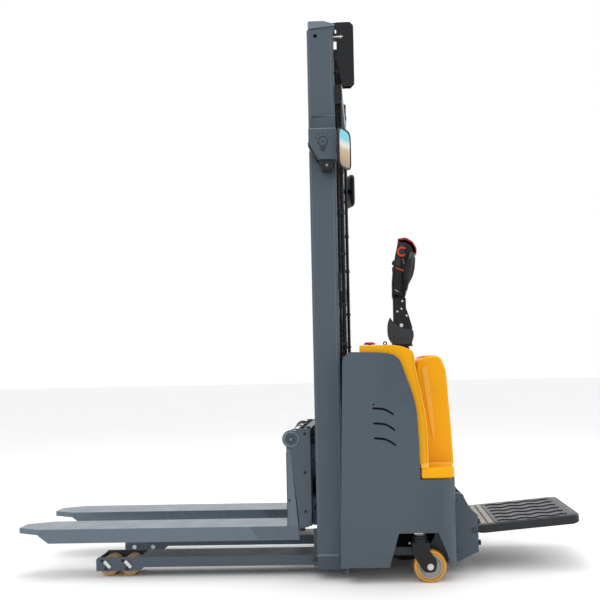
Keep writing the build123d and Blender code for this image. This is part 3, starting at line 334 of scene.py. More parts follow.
def add_prism(mesh, outline, low, high, axis="y"):
    """Adds an outline stretched along an axis: (x, z) for y, (x, y) for z, (y, z) for x."""
    rings = []
    for level in (low, high):
        ring = []
        for a, b in outline:
            point = {"y": at(a, level, b), "z": at(a, b, level), "x": at(level, a, b)}[axis]
            ring.append(mesh.verts.new(point))
        rings.append(ring)
    return stitch(mesh, rings)


def add_block(mesh, x, y, z):
    """Adds a rectangular block from three ranges."""
    return add_prism(mesh, ((x[0], z[0]), (x[1], z[0]), (x[1], z[1]), (x[0], z[1])), *y)


def add_turning(mesh, profile, centre, direction, steps=40, closed=False):
    """Adds a turned shape: (radius, distance along the axis) pairs spun about a direction."""
    spin = Vector((0, 0, 1)).rotation_difference(Vector(direction).normalized()).to_matrix()
    rings = []
    for radius, along in profile:
        if radius < 1e-6:
            rings.append([mesh.verts.new(centre + spin @ Vector((0, 0, along)))])
            continue
        rings.append([
            mesh.verts.new(centre + spin @ Vector((radius * cos(a), radius * sin(a), along)))
            for a in (2 * pi * i / steps for i in range(steps))
        ])
    pairs = list(zip(rings, rings[1:]))
    if closed:
        pairs.append((rings[-1], rings[0]))
    for first, second in pairs:
        for i in range(steps):
            j = (i + 1) % steps
            corners = [first[i % len(first)], first[j % len(first)], second[j % len(second)],
                    second[i % len(second)]]
            unique = list(dict.fromkeys(corners))
            if len(unique) > 2:
                mesh.faces.new(unique)
    return mesh


def smooth_line(points, steps=5):
    """Points along a smooth curve through the given ones, both ends kept."""
    ends = [points[0], *points, points[-1]]
    line = []
    for a, b, c, d in zip(ends, ends[1:], ends[2:], ends[3:]):
        for i in range(steps):
            t = i / steps
            line.append(tuple(
                0.5 * (2 * q + (r - p) * t + (2 * p - 5 * q + 4 * r - s) * t * t
                       + (3 * q - p - 3 * r + s) * t ** 3)
                for p, q, r, s in zip(a, b, c, d)))
    line.append(tuple(points[-1]))
    return line


def rounded(points, radius, steps=5):
    """A closed outline with every corner rounded, or each by its own radius."""
    radii = radius if isinstance(radius, (list, tuple)) else [radius] * len(points)
    outline = []
    count = len(points)
    for i, (corner, r) in enumerate(zip(points, radii)):
        here = Vector(corner)
        before = (Vector(points[i - 1]) - here)
        after = (Vector(points[(i + 1) % count]) - here)
        turn = before.angle(after)
        reach = min(r / math.tan(turn / 2), before.length * 0.49, after.length * 0.49)
        if reach < 1e-5:
            outline.append(tuple(here))
            continue
        start = here + before.normalized() * reach
        end = here + after.normalized() * reach
        for k in range(steps + 1):
            t = k / steps
            outline.append(tuple(start.lerp(here, t).lerp(here.lerp(end, t), t)))
    return outline


def add_hex_bolt(mesh, centre, direction, size):
    """Adds a bolt head with chamfered corners, on a washer."""
    lift = size * 0.2
    add_turning(mesh, ((0, 0), (size * 1.35, 0), (size * 1.35, size * 0.14), (size * 1.28, lift),
            (0, lift)), centre, direction, 28)
    add_turning(mesh, ((0, lift), (size, lift), (size, lift + size * 0.55),
            (size * 0.82, lift + size * 0.68), (0, lift + size * 0.68)), centre, direction, 6)


def add_cap_screw(mesh, centre, direction, size):
    """Adds a round socket-head screw with a round sunk socket."""
    add_turning(mesh, ((size * 0.5, size * 0.35), (size * 0.5, size * 0.75), (size * 0.86, size * 0.75),
            (size, size * 0.6), (size, 0), (0, 0)), centre, direction, 24)
    add_turning(mesh, ((0, size * 0.35), (size * 0.5, size * 0.35)), centre, direction, 24)


# ---- studio
def area_light(name, place, target, size, power):
    data = bpy.data.lights.new(name, "AREA")
    data.shape = "RECTANGLE"
    data.size, data.size_y = size
    data.energy = power
    lamp = bpy.data.objects.new(name, data)
    lamp.location = place
    lamp.rotation_euler = (Vector(target) - Vector(place)).to_track_quat("-Z", "Y").to_euler()
    bpy.context.scene.collection.objects.link(lamp)


def make_floor():
    """A plain pale floor with a faint unevenness."""
    mesh = bmesh.new()
    bmesh.ops.create_grid(mesh, x_segments=2, y_segments=2, size=40.0)
    data = bpy.data.meshes.new("floor")
    mesh.to_mesh(data)
    mesh.free()
    n = Nodes("floor")
    n.vary(n.noise(0.6, 2.0), "Base Color", (0.9,) * 3, (0.92,) * 3)
    n.shader.inputs["Roughness"].default_value = 0.7
    data.materials.append(n.material)
    floor = bpy.data.objects.new("floor", data)
    bpy.context.scene.collection.objects.link(floor)


make_floor()
world = bpy.data.worlds.new("studio")
world.use_nodes = True
world.node_tree.nodes["Background"].inputs["Color"].default_value = (1.0, 1.0, 1.0, 1.0)
world.node_tree.nodes["Background"].inputs["Strength"].default_value = 1.0
bpy.context.scene.world = world
bpy.context.scene.view_settings.view_transform = "Standard"
area_light("key", (-2.2, -3.6, 3.8), (0.2, 0, 0.8), (2.2, 2.2), 22)
area_light("rim", (3.6, -1.4, 3.0), (0.4, 0, 0.8), (1.6, 2.4), 26)
area_light("top", (-0.2, 0.2, 5.0), (0, 0, 0.4), (3.4, 2.4), 85)
area_light("back", (0.5, 4.5, 3.5), (0, 0, 1.0), (3.0, 3.0), 20)


# ---- carried CAD nodes
CARRIED_EDGES = {
    "left_mast_channel": 0.0025, "right_mast_channel": 0.0025, "mast_crossbeams": 0.002,
    "base_frame": 0.0015, "left_leg": 0.0015, "right_leg": 0.0015, "lamp_boxes": 0.003,
    "step_box": 0.004, "inner_mast_channels": 0.0015, "inner_mast_crossbeams": 0.0015,
    "carriage_frame": 0.0015, "left_fork": 0.0014, "right_fork": 0.0014,
    "left_side_panel": 0.0012, "right_side_panel": 0.0012, "mast_hood": 0.001,
    "battery_blocks": 0.003, "hydraulic_power_unit": 0.002, "motor_controller": 0.002,
    "drive_gearbox": 0.003, "ride_deck": 0.004, "tiller_arm": 0.0012,
}
for node_name, width in CARRIED_EDGES.items():
    soften(frame["nodes"][node_name], width, 2)


# ---- yellow covers
TILLER_X = 0.498
CONSOLE_TOP = 0.949
CONSOLE_HALF = 0.398
BAND_REAR = ((0.52, 0.9265), (0.53, 0.914), (0.5335, 0.895), (0.537, 0.858), (0.546, 0.808), (0.557, 0.757),
        (0.571, 0.677), (0.578, 0.607), (0.58, 0.54), (0.5805, 0.46))


def make_console():
    """The console: a flat top, a square front lip and flanks that sweep down to the foot."""
    crest = smooth_line([(0.441, CONSOLE_TOP), (0.47, 0.9445), (0.494, 0.938), (0.52, 0.9265)], 4)
    rear = smooth_line(BAND_REAR, 4)
    front = rounded([(0.314, 0.7), (0.314, CONSOLE_TOP), (0.441, CONSOLE_TOP)], 0.007, 4)
    outline = [(0.314, 0.459), *front[6:-6], *crest, *rear[1:]]
    mesh = add_prism(bmesh.new(), outline, -CONSOLE_HALF, CONSOLE_HALF)
    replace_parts(piece_from("console_cover", mesh, "yellow_cover", 0.008, 4), "top_cover")
    # A thin lighter strip along the band's rear edge: a painted highlight.
    band_highlight = bmesh.new()
    for side in SIDES.values():
        line = smooth_line(BAND_REAR[1:], 4)
        inner = [(x - 0.0055, z) for x, z in line[::-1]]
        add_prism(band_highlight, line + inner, *span(side, 0.3975, 0.4015))
    piece_from("band_edge_highlight", band_highlight, "yellow_bright", 0.0012, 3)


COLUMN_REAR = ((0.632, 0.9015), (0.648, 0.888), (0.661, 0.857), (0.668, 0.825), (0.675, 0.717),
        (0.6835, 0.592), (0.691, 0.452))


def make_column_cover():
    """The rear column: a crowned cover that stands in a recess of the console."""
    rear = smooth_line(COLUMN_REAR, 4)
    outline = [(0.5815, 0.452), *smooth_line([(0.5795, 0.607), (0.5725, 0.677), (0.5585, 0.757),
            (0.5455, 0.825), (0.545, 0.886)], 4), (0.583, 0.898), *rear]
    mesh = add_prism(bmesh.new(), outline, -0.3, 0.3)
    column = piece_from("column_cover", mesh, "yellow_cover", 0.04, 7)
    column.modifiers["edge"].angle_limit = radians(62)
    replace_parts(column, "rear_cover")
    # Raised flutes in the lighter yellow: painted highlight streaks down the column's flanks.
    flute_highlights = bmesh.new()
    for side in SIDES.values():
        line = smooth_line([(0.586, 0.862), (0.6, 0.76), (0.609, 0.66), (0.614, 0.56)], 5)
        inner = smooth_line([(0.606, 0.56), (0.592, 0.65), (0.578, 0.75), (0.566, 0.85)], 5)
        add_prism(flute_highlights, line + inner, *span(side, 0.2985, 0.303))
    piece_from("column_flute_highlights", flute_highlights, "yellow_bright", 0.0028, 5)
    lid = bmesh.new()
    add_prism(lid, rounded(rectangle(0.575, -0.236, 0.634, 0.236), 0.02), 0.893, 0.9045, "z")
    piece_from("column_lid", lid, "yellow_cover", 0.004, 4)


def plan_ring(front, rear, half, corner):
    """The outline of the cover's foot in plan."""
    return rounded(rectangle(front, -half, rear, half), [0.0, corner, corner, 0.0], 8)


def make_cover_foot():
    """The wide foot of the rear cover, with the ledge that the column stands on."""
    mesh = bmesh.new()
    add_prism(mesh, plan_ring(0.549, 0.686, 0.4105, 0.055), 0.4115, 0.4565, "z")
    piece_from("cover_foot", mesh, "yellow_cover", 0.008, 5)
    # Sloped fillets over the shaded line at the foot's top edge, in the lighter yellow: a painted highlight.
    ramp = bmesh.new()
    for side in SIDES.values():
        slope = [(side * 0.397, 0.4555), (side * 0.4103, 0.4555), (side * 0.3985, 0.476)]
        add_prism(ramp, slope, 0.5492, 0.581, "x")
        ledge = [(side * 0.299, 0.4555), (side * 0.31, 0.4555), (side * 0.301, 0.466)]
        add_prism(ramp, ledge, 0.583, 0.687, "x")
    piece_from("foot_ramps", ramp, "yellow_bright", 0.0008, 2)


make_console()
make_column_cover()
make_cover_foot()


# ---- panels
LOUVRES = (((0.364, 0.697), (0.408, 0.692), (0.443, 0.672)), ((0.366, 0.637), (0.411, 0.632),
        (0.447, 0.61)), ((0.368, 0.578), (0.413, 0.572), (0.45, 0.549)))


def make_panel_details():
    """Painted shade: dark inserts in the panels' louvre slots, dark sheets behind them, and a dark lining in
    the wheel arches.
    """
    marks, mesh, arch_shade, screws, plates = new_meshes(5)
    for side in SIDES.values():
        add_prism(mesh, rounded(rectangle(0.348, 0.535, 0.468, 0.715), 0.008), *span(side, 0.4085, 0.4108))
        add_prism(arch_shade, rounded([(0.3, 0.114), (0.59, 0.114), (0.6195, 0.205), (0.6, 0.27), (0.3, 0.27)],
                0.006), *span(side, 0.2765, 0.2785))
        add_cap_screw(screws, at(0.503, side * 0.2785, 0.13), (0, side, 0), 0.0045)
        add_turning(marks, ((0, 0.0008), (0.003, 0.0006), (0.0036, 0)), at(0.366, side * 0.415, 0.712),
                (0, side, 0), 16)
        for start, middle, end in LOUVRES:
            line = smooth_line([start, middle, end], 8)
            upper = [(x, z + 0.0042) for x, z in line]
            lower = [(x, z - 0.0042) for x, z in line[::-1]]
            add_prism(marks, [*upper, (end[0] + 0.003, end[1] - 0.001), *lower,
                    (start[0] - 0.0035, start[1])], *span(side, 0.4105, 0.4155))
        add_block(plates, (0.516, 0.552), span(side, 0.404, 0.4105), (0.1945, 0.2005))
    # The near-black inserts, backing sheets and arch lining are painted shade.
    piece_from("louvre_shade_inserts", marks, "dark_gap", 0.0005, 2)
    piece_from("louvre_shade_backing", mesh, "dark_gap", 0.0005, 2)
    piece_from("arch_shade_lining", arch_shade, "dark_gap", 0.0006, 2)
    piece_from("panel_screws", screws, "bright_steel")
    piece_from("caster_stop_plates", plates, "bright_steel", 0.001, 2)


make_panel_details()


# ---- console fittings
def make_console_fittings():
    low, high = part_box("stop_button")
    stop = Vector(((low.x + high.x) / 2, (low.y + high.y) / 2, 0))
    mesh = bmesh.new()
    add_turning(mesh, ((0, 0.9688), (0.009, 0.9686), (0.017, 0.967), (0.0225, 0.964), (0.0255, 0.9605),
            (0.0255, 0.9585), (0.023, 0.9572), (0.0068, 0.9572), (0.0068, 0.9475), (0, 0.9475)), stop,
            (0, 0, 1), 48)
    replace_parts(piece_from("stop_mushroom", mesh, "red_plastic", 0.0006, 2, "stop_button"), "stop_button")
    low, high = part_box("key")
    key = Vector(((low.x + high.x) / 2, (low.y + high.y) / 2, 0))
    bow = bmesh.new()
    add_turning(bow, ((0.0042, -0.0014), (0.0088, -0.0014), (0.0096, -0.0006), (0.0096, 0.0006),
            (0.0088, 0.0014), (0.0042, 0.0014)), key + Vector((0, 0, 0.963)), (0, 1, 0), 32, closed=True)
    add_prism(bow, [(key.x - HEEL - 0.003, 0.9502), (key.x - HEEL + 0.003, 0.9502),
            (key.x - HEEL + 0.003, 0.956), (key.x - HEEL - 0.003, 0.956)], key.y - 0.001, key.y + 0.001)
    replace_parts(piece_from("key_head", bow, "black_plastic", 0.0003, 2, "key"), "key")
    collars = bmesh.new()
    add_turning(collars, ((0.0075, 0.949), (0.019, 0.949), (0.019, 0.9508), (0.0178, 0.952),
            (0.0075, 0.952)), stop, (0, 0, 1), 40, closed=True)
    add_turning(collars, ((0.0045, 0.949), (0.011, 0.949), (0.011, 0.9515), (0.0096, 0.953),
            (0.0045, 0.953)), key, (0, 0, 1), 36, closed=True)
    gauge_x, gauge_y = 0.372, 0.11
    add_prism(collars, rounded(rectangle(gauge_x - 0.028, gauge_y - 0.034, gauge_x + 0.028,
            gauge_y + 0.034), 0.008), 0.949, 0.953, "z")
    ribs = [(0.0335 + 0.0032 * (i % 2), 0.905 + 0.004 * i) for i in range(12)]
    add_turning(collars, [(0.0298, 0.905), *ribs, (0.0298, 0.949)], at(TILLER_X, 0, 0), (0, 0, 1), 48,
            closed=True)
    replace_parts(piece_from("console_collars", collars, "black_plastic", 0.0005, 2), "console_fittings")
    screen = bmesh.new()
    add_prism(screen, rounded(rectangle(gauge_x - 0.02, gauge_y - 0.026, gauge_x + 0.016, gauge_y + 0.026),
            0.004), 0.9525, 0.9534, "z")
    piece_from("gauge_screen", screen, "lamp_plastic", 0.0003, 2)
    bars = bmesh.new()
    for i in range(8):
        y = gauge_y - 0.022 + i * 0.0058
        add_block(bars, (gauge_x - 0.013, gauge_x + 0.008), (y, y + 0.0034), (0.9533, 0.9537))
    piece_from("gauge_bars", bars, "strip_grey", 0.0001, 1)


make_console_fittings()


# ---- mast details
def wavy_tube(mesh, centre, low, high, radius, pitch, steps=16):
    """Adds a corrugated hose standing upright."""
    profile = [(0.0, low)]
    for i in range(int((high - low) / pitch)):
        z = low + i * pitch
        profile += [(radius * 0.76, z + pitch * 0.05), (radius, z + pitch * 0.3),
                (radius, z + pitch * 0.62), (radius * 0.76, z + pitch * 0.88)]
    profile.append((0.0, high))
    add_turning(mesh, profile, centre, (0, 0, 1), steps)


def make_mast_details():
    hole_shade, bright, flaps, welds_and_highlight_lines, rims, shoes, caps = new_meshes(7)
    for low, high in ((2.25, 2.279), (2.216, 2.235), (2.12, 2.169)):
        add_block(caps, (0.2285, 0.2465), (-0.3215, -0.318), (low, high))
    for side in SIDES.values():
        # Dark discs in the mast holes: painted shade.
        add_turning(hole_shade, ((0, 0.0007), (0.007, 0.0007), (0.008, 0)), at(0.16, side * 0.342, 2.218),
                (0, side, 0), 24)
        # The cap's sloping flap, in the lighter slate: a painted highlight on its lit facet.
        add_prism(flaps, [(0.1305, 2.2475), (0.1305, 2.2765), (0.137, 2.2795), (0.196, 2.2795),
                (0.2405, 2.2655), (0.2405, 2.259)], *span(side, 0.3365, 0.3425))
        # Thin lighter lines up the channel edges: painted highlights along the bends.
        for x in (0.1345, 0.222, 0.232):
            add_prism(welds_and_highlight_lines, [(x - 0.0012, 0.2), (x, 0.2), (x, 2.235), (x - 0.0012, 2.235)],
                    *span(side, 0.3405, 0.3424))
        path = [(0.129 + 0.008 * i, 0.0985 + 0.0012 * ((i * 7) % 3)) for i in range(11)]
        for x, z in path:
            add_turning(rims, ((0, 0.0048), (0.0034, 0.0036), (0.005, 0)), at(x, side * 0.3412, z),
                    (0, side, 0), 10)
        add_prism(shoes, rounded(rectangle(0.126, 0.0425, 0.214, 0.0975), 0.003),
                *span(side, 0.3405, 0.3445))
        add_prism(caps, rounded(rectangle(0.2335, 1.9485, 0.2645, 2.0155), 0.002),
                *span(side, 0.3415, 0.3435))
        for low, high in ((1.179, 1.251), (0.699, 0.639)):
            add_prism(caps, rectangle(0.2335, low, 0.246, high), *span(side, 0.3415, 0.343))
    add_hex_bolt(bright, at(0.262, -0.314, 2.22), (1, 0, 0), 0.0085)
    add_turning(bright, ((0, 0), (0.0035, 0), (0.0035, 0.04), (0, 0.04)), at(0.232, -0.322, 2.22),
            (1, 0, 0), 12)
    piece_from("mast_holes", hole_shade, "dark_gap")
    piece_from("mast_bolts", bright, "bright_steel", 0.0003, 2)
    piece_from("mast_cap_flaps", flaps, "slate_light", 0.002, 3)
    piece_from("mast_edge_highlights", welds_and_highlight_lines, "slate_light", 0.0004, 2)
    # Real weld beads, drawn in the lighter slate: partly a painted highlight.
    piece_from("mast_foot_welds", rims, "slate_light")
    piece_from("mast_shoes", shoes, "slate_paint", 0.0012, 2)
    piece_from("hose_caps", caps, "black_plastic", 0.0006, 2)


def make_conduits():
    """Corrugated hose guards that climb the back of the mast."""
    mesh = bmesh.new()
    for side in SIDES.values():
        guard = at(0.2545, side * 0.304, 0)
        wavy_tube(mesh, guard, 0.9055, 1.9495, 0.009, 0.009)
        wavy_tube(mesh, guard, 2.0145, 2.1495, 0.009, 0.009)
        pipe = at(0.2395, side * 0.304, 0)
        for low, high in ((0.7005, 1.1795), (1.2505, 1.9495), (2.0145, 2.1495)):
            wavy_tube(mesh, pipe, low, high, 0.006, 0.006, 12)
    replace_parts(piece_from("hose_guards", mesh, "black_plastic"), "hose_conduits")
    clips = bmesh.new()
    for side in SIDES.values():
        for z in (0.96, 1.12, 1.33, 1.5, 1.67, 1.84, 2.08):
            clip = rounded(rectangle(0.2335, side * 0.293, 0.2645, side * 0.3145), 0.006, 4)
            add_prism(clips, clip, z - 0.007, z + 0.007, "z")
    piece_from("hose_clips", clips, "black_paint", 0.001, 2)


make_mast_details()
make_conduits()


# ---- lamps and mirrors
LAMP_ICON = (0.186, 1.77)


def make_lamps():
    body, lens, strip, icon, highlight_rims = new_meshes(5)
    for side in SIDES.values():
        y_range = span(side, 0.351, 0.393)
        add_prism(body, rounded([(0.174, 1.697), (0.172, 1.674), (0.184, 1.656), (0.214, 1.6535),
                (0.223, 1.668), (0.224, 1.697)], 0.008), *y_range)
        for i in range(4):
            y = y_range[0] + 0.006 + i * 0.0088
            add_block(body, (0.18, 0.22), (y, y + 0.0032), (1.6515, 1.656))
        add_turning(lens, ((0, 0.0018), (0.004, 0.0015), (0.0055, 0), (0, -0.001)),
                at(0.1995, side * 0.393, 1.676), (0, side, 0), 28)
        add_prism(strip, [(0.13, 1.774), (0.1245, 1.766), (0.127, 1.748), (0.159, 1.6945), (0.166, 1.6985),
                (0.132, 1.757)], *span(side, 0.349, 0.3965))
        # Raised rims along the bracket's edges, in the lighter slate: painted highlights.
        add_prism(highlight_rims, rectangle(0.1285, 1.8195, 0.2385, 1.823), *span(side, 0.3955, 0.4008))
        corner = rounded([(0.1415, 1.823), (0.1415, 1.8885), (0.2345, 1.8885)], [0, 0.016, 0], 6)
        inside = [(max(x, 0.1445), min(z, 1.8855)) for x, z in corner[::-1]]
        add_prism(highlight_rims, corner + inside, *span(side, 0.3495, 0.3522))
        centre = at(LAMP_ICON[0], side * 0.4002, LAMP_ICON[1])
        direction = (0, side, 0)
        add_turning(icon, ((0.0205, 0), (0.0205, 0.0007), (0.0175, 0.0007), (0.0175, 0)), centre, direction,
                32, closed=True)
        add_turning(icon, ((0, 0), (0, 0.0008), (0.0035, 0.0008), (0.0035, 0)), centre, direction, 16)
        for i in range(5):
            angle = radians(26 + i * 32)
            along, across = Vector((cos(angle), sin(angle))), Vector((-sin(angle), cos(angle)))
            ray = [tuple(Vector(LAMP_ICON) + along * r + across * w)
                   for r, w in ((0.027, -0.0014), (0.037, -0.0014), (0.037, 0.0014), (0.027, 0.0014))]
            add_prism(icon, ray, *span(side, 0.4, 0.4008))
        for z, width in ((1.7475, 0.0105), (1.7405, 0.0105), (1.7335, 0.0065)):
            add_block(icon, (LAMP_ICON[0] - width, LAMP_ICON[0] + width), span(side, 0.4, 0.4008),
                    (z - 0.0042, z))
    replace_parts(piece_from("lamp_housings", body, "lamp_plastic", 0.002, 3), "work_lamps")
    piece_from("lamp_lenses", lens, "lens")
    piece_from("marker_lenses", strip, "lamp_plastic", 0.001, 2)
    piece_from("lamp_icons", icon, "icon_grey")
    piece_from("lamp_highlight_rims", highlight_rims, "slate_light", 0.0008, 2)


def make_mirror(name, side):
    """A convex mirror in a rounded housing that is deeper in the middle."""
    turn = radians(25.0)
    across = Vector((sin(turn), -side * cos(turn), 0))
    outward = Vector((cos(turn), side * sin(turn), 0))
    centre = at(0.268, side * 0.386, 1.74)
    face = rounded(rectangle(-0.053, -0.08, 0.053, 0.08), [0.03, 0.03, 0.034, 0.034], 8)

    def skin(mesh, sections):
        stitch(mesh, [[mesh.verts.new(centre + across * (u * share) + Vector((0, 0, v * share))
                                      + outward * depth) for u, v in face] for share, depth in sections])

    shell = bmesh.new()
    skin(shell, ((0.72, -0.006), (0.93, -0.005), (0.985, -0.002), (1.0, 0.003), (0.985, 0.0078),
            (0.93, 0.008), (0.915, 0.0055)))
    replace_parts(piece_from(f"{name}_mirror_housing", shell, "black_plastic", body=f"{name}_mirror"),
                f"{name}_mirror")
    pane = bmesh.new()
    skin(pane, ((0.915, 0.005), (0.914, 0.0057), (0.75, 0.0064), (0.5, 0.007), (0.2, 0.0073)))
    silver = piece_from(f"{name}_mirror_glass", pane, "mirror_glass", body=f"{name}_mirror")
    silver.data.shade_smooth()
    knuckle = bmesh.new()
    add_turning(knuckle, ((0, -0.012), (0.006, -0.012), (0.007, -0.01), (0.007, 0.01), (0.006, 0.012),
            (0, 0.012)), at(0.26, side * 0.386, 1.74), (0, 0, 1), 24)
    piece_from(f"{name}_mirror_knuckle", knuckle, "black_plastic", 0.0006, 2, f"{name}_mirror")


make_lamps()
for mirror_name, mirror_side in SIDES.items():
    make_mirror(mirror_name, mirror_side)


# ---- more mesh tools
def inset(outline, depth):
    """A closed outline drawn in by a distance, each corner along its own bisector."""
    count = len(outline)
    turning = sum(outline[i][0] * outline[(i + 1) % count][1] - outline[(i + 1) % count][0] * outline[i][1]
                  for i in range(count))
    sign = 1 if turning > 0 else -1
    result = []
    for i, point in enumerate(outline):
        here = Vector(point)
        before = (here - Vector(outline[i - 1])).normalized()
        after = (Vector(outline[(i + 1) % count]) - here).normalized()
        along = (before + after).normalized()
        result.append(tuple(here + Vector((-along.y, along.x)) * depth * sign))
    return result


def add_pillow(mesh, outline, half, edge, steps=4):
    """Adds a side outline as a body across Y whose two flanks are rounded over."""
    levels = [(-half + edge * (1 - cos(a)),
            edge * (1 - sin(a))) for a in (pi / 2 * i / steps for i in range(steps + 1))]
    rings = []
    for y, depth in levels + [(-y, depth) for y, depth in levels[::-1]]:
        rings.append([mesh.verts.new(at(x, y, z)) for x, z in inset(outline, depth)])
    return stitch(mesh, rings)


def add_tube(mesh, path, radius, normal, steps=16):
    """Adds a round tube along points that lie in one plane."""
    rings = []
    for i, point in enumerate(path):
        ahead = path[min(i + 1, len(path) - 1)]
        behind = path[max(i - 1, 0)]
        across = (ahead - behind).normalized().cross(normal)
        rings.append([mesh.verts.new(point + (normal * cos(a) + across * sin(a)) * radius)
                      for a in (2 * pi * k / steps for k in range(steps))])
    return stitch(mesh, rings)


# ---- wheels
def ring_profile(bore, radius, half, edge, crown=0.0):
    """The section of a tyre or hub: (radius, distance along the axle) pairs."""
    shoulder = [(radius - edge * (1 - sin(a)) - crown,
            half - edge * (1 - cos(a))) for a in (pi / 2 * i / 4 for i in range(5))]
    outer = [(bore, half), *shoulder, (radius, 0.0)]
    return outer + [(r, -y) for r, y in outer[-2::-1]]


LOAD_WHEEL_XS = {"front": -0.768, "rear": -0.68}
LOAD_WHEELS = [(f"{name}_{place}_load_wheel", side, x) for name, side in SIDES.items() for place,
        x in LOAD_WHEEL_XS.items()]
LEG_MID = 0.195


def make_load_wheels():
    for node, side, x in LOAD_WHEELS:
        centre = at(x, side * LEG_MID, 0.04)
        tyre = bmesh.new()
        add_turning(tyre, ring_profile(0.03, 0.04, 0.042, 0.004), centre, (0, 1, 0), 56, closed=True)
        tread = piece_from(f"{node}_tyre", tyre, "amber_tread", body=node)
        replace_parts(tread, node)
        hub = bmesh.new()
        outer = [(0.0101, 0.045), (0.015, 0.045), (0.0158, 0.044), (0.0158, 0.0415), (0.0245, 0.0415),
                (0.0255, 0.043), (0.03, 0.043), (0.0302, 0.04)]
        add_turning(hub, outer + [(r, -y) for r, y in outer[::-1]], centre, (0, 1, 0), 40, closed=True)
        piece_from(f"{node}_hub", hub, "hub_grey", body=node)


CASTER = {"x": 0.54, "y": 0.385, "wheel_x": 0.578, "wheel_z": 0.065}


def make_casters():
    for name, side in SIDES.items():
        centre = at(CASTER["wheel_x"], side * CASTER["y"], CASTER["wheel_z"])
        tyre = bmesh.new()
        add_turning(tyre, ring_profile(0.048, 0.065, 0.023, 0.009), centre, (0, 1, 0), 64, closed=True)
        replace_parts(piece_from(f"{name}_caster_tyre", tyre, "amber_tread", body=f"{name}_caster_wheel"),
                    f"{name}_caster_wheel")
        hub = bmesh.new()
        outer = [(0.0082, 0.0225), (0.015, 0.0225), (0.0165, 0.018), (0.02, 0.0155), (0.036, 0.0155),
                (0.041, 0.018), (0.044, 0.0222), (0.048, 0.0222)]
        add_turning(hub, outer + [(r, -y) for r, y in outer[::-1]], centre, (0, 1, 0), 48, closed=True)
        for k in range(6):
            angle = 2 * pi * k / 6
            for face in (-1, 1):
                spot = centre + Vector((cos(angle) * 0.028, face * 0.015, sin(angle) * 0.028))
                add_turning(hub, ((0, 0.003), (0.0035, 0.003), (0.0045, 0)), spot, (0, face, 0), 12)
        piece_from(f"{name}_caster_hub", hub, "hub_grey", 0.0006, 2, f"{name}_caster_wheel")
        rim = bmesh.new()
        for face in (-1, 1):
            add_turning(rim, ((0.05, 0.0226), (0.0525, 0.0236), (0.0545, 0.0226)), centre, (0, face, 0), 48)
        piece_from(f"{name}_caster_rim", rim, "rim_amber", body=f"{name}_caster_wheel")
        fork = bmesh.new()
        for inner, outer_y in ((-0.0305, -0.0252), (0.0252, 0.0305)):
            cheek = rounded([(0.508, 0.161), (0.507, 0.118), (0.554, 0.043), (0.6, 0.043), (0.604, 0.086),
                    (0.577, 0.128), (0.577, 0.161)], [0.004, 0.02, 0.022, 0.022, 0.02, 0.02, 0.004], 6)
            add_prism(fork, cheek, side * CASTER["y"] + inner, side * CASTER["y"] + outer_y)
        add_block(fork, (0.51, 0.572), (side * CASTER["y"] - 0.026, side * CASTER["y"] + 0.026),
                (0.1545, 0.161))
        pin = at(CASTER["x"], side * CASTER["y"], 0.0)
        add_turning(fork, ((0, 0.16), (0.032, 0.16), (0.033, 0.164), (0.033, 0.17), (0.0305, 0.172),
                (0.0305, 0.176), (0.033, 0.178), (0.0325, 0.184), (0.012, 0.185), (0.012, 0.197),
                (0, 0.197)), pin, (0, 0, 1), 40)
        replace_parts(piece_from(f"{name}_caster_cheeks", fork, "black_paint", 0.0012, 3, f"{name}_caster"),
                    f"{name}_caster_fork")
        bolts = bmesh.new()
        for face in (-1, 1):
            place = centre + Vector((0, face * 0.0303, 0))
            add_hex_bolt(bolts, place, (0, face, 0), 0.0098)
        add_turning(bolts, ((0, -0.03), (0.0079, -0.03), (0.0079, 0.03), (0, 0.03)), centre, (0, 1, 0), 24)
        piece_from(f"{name}_caster_axle", bolts, "bright_steel", 0.0006, 2, f"{name}_caster")


make_load_wheels()
make_casters()


# ---- legs and base
def make_leg_details():
    pins, screws, plates = new_meshes(3)
    for side in SIDES.values():
        for x in LOAD_WHEEL_XS.values():
            line = rounded([(x - 0.014, 0.066), (x - 0.003, 0.075), (x + 0.022, 0.047), (x + 0.011, 0.038)],
                    0.004)
            add_prism(pins, line, *span(side, 0.265, 0.2725))
            add_turning(screws, ((0, 0.0008), (0.0098, 0.0006), (0.0104, -0.004), (0, -0.004)),
                    at(x, side * 0.2702, 0.04), (0, side, 0), 28)
            add_turning(screws, ((0, 0.001), (0.006, 0.0008), (0.0072, 0)),
                    at(x - 0.02, side * 0.265, 0.07), (0, side, 0), 24)
        add_prism(plates, rounded([(0.584, 0.0645), (0.577, 0.13), (0.596, 0.156), (0.6125, 0.1985),
                (0.65, 0.1985), (0.65, 0.0645)], 0.006), *span(side, 0.33, 0.334))
    piece_from("axle_lock_plates", pins, "bright_steel", 0.0006, 2)
    piece_from("axle_lock_screws", screws, "black_paint")
    piece_from("arch_plates", plates, "slate_paint", 0.001, 2)


def make_cylinder_glands():
    glands = bmesh.new()
    for side in SIDES.values():
        place = at(0.17, side * 0.185, 0)
        add_turning(glands, ((0.0156, 1.699), (0.0156, 1.712), (0.02, 1.713), (0.0235, 1.709),
                (0.0235, 1.701), (0.03, 1.7), (0.03, 1.676), (0.0272, 1.674), (0.0272, 1.699)), place,
                (0, 0, 1), 36, closed=True)
        add_turning(glands, ((0.0272, 0.057), (0.034, 0.057), (0.034, 0.066), (0.032, 0.068),
                (0.0272, 0.068)), place, (0, 0, 1), 36, closed=True)
    piece_from("cylinder_glands", glands, "bright_steel")


make_leg_details()
make_cylinder_glands()


# ---- chains
PULLEY = (0.186, 2.18)
CHAIN_Y = 0.11
CHAIN_R = 0.056
CHAIN_PITCH = 0.0159


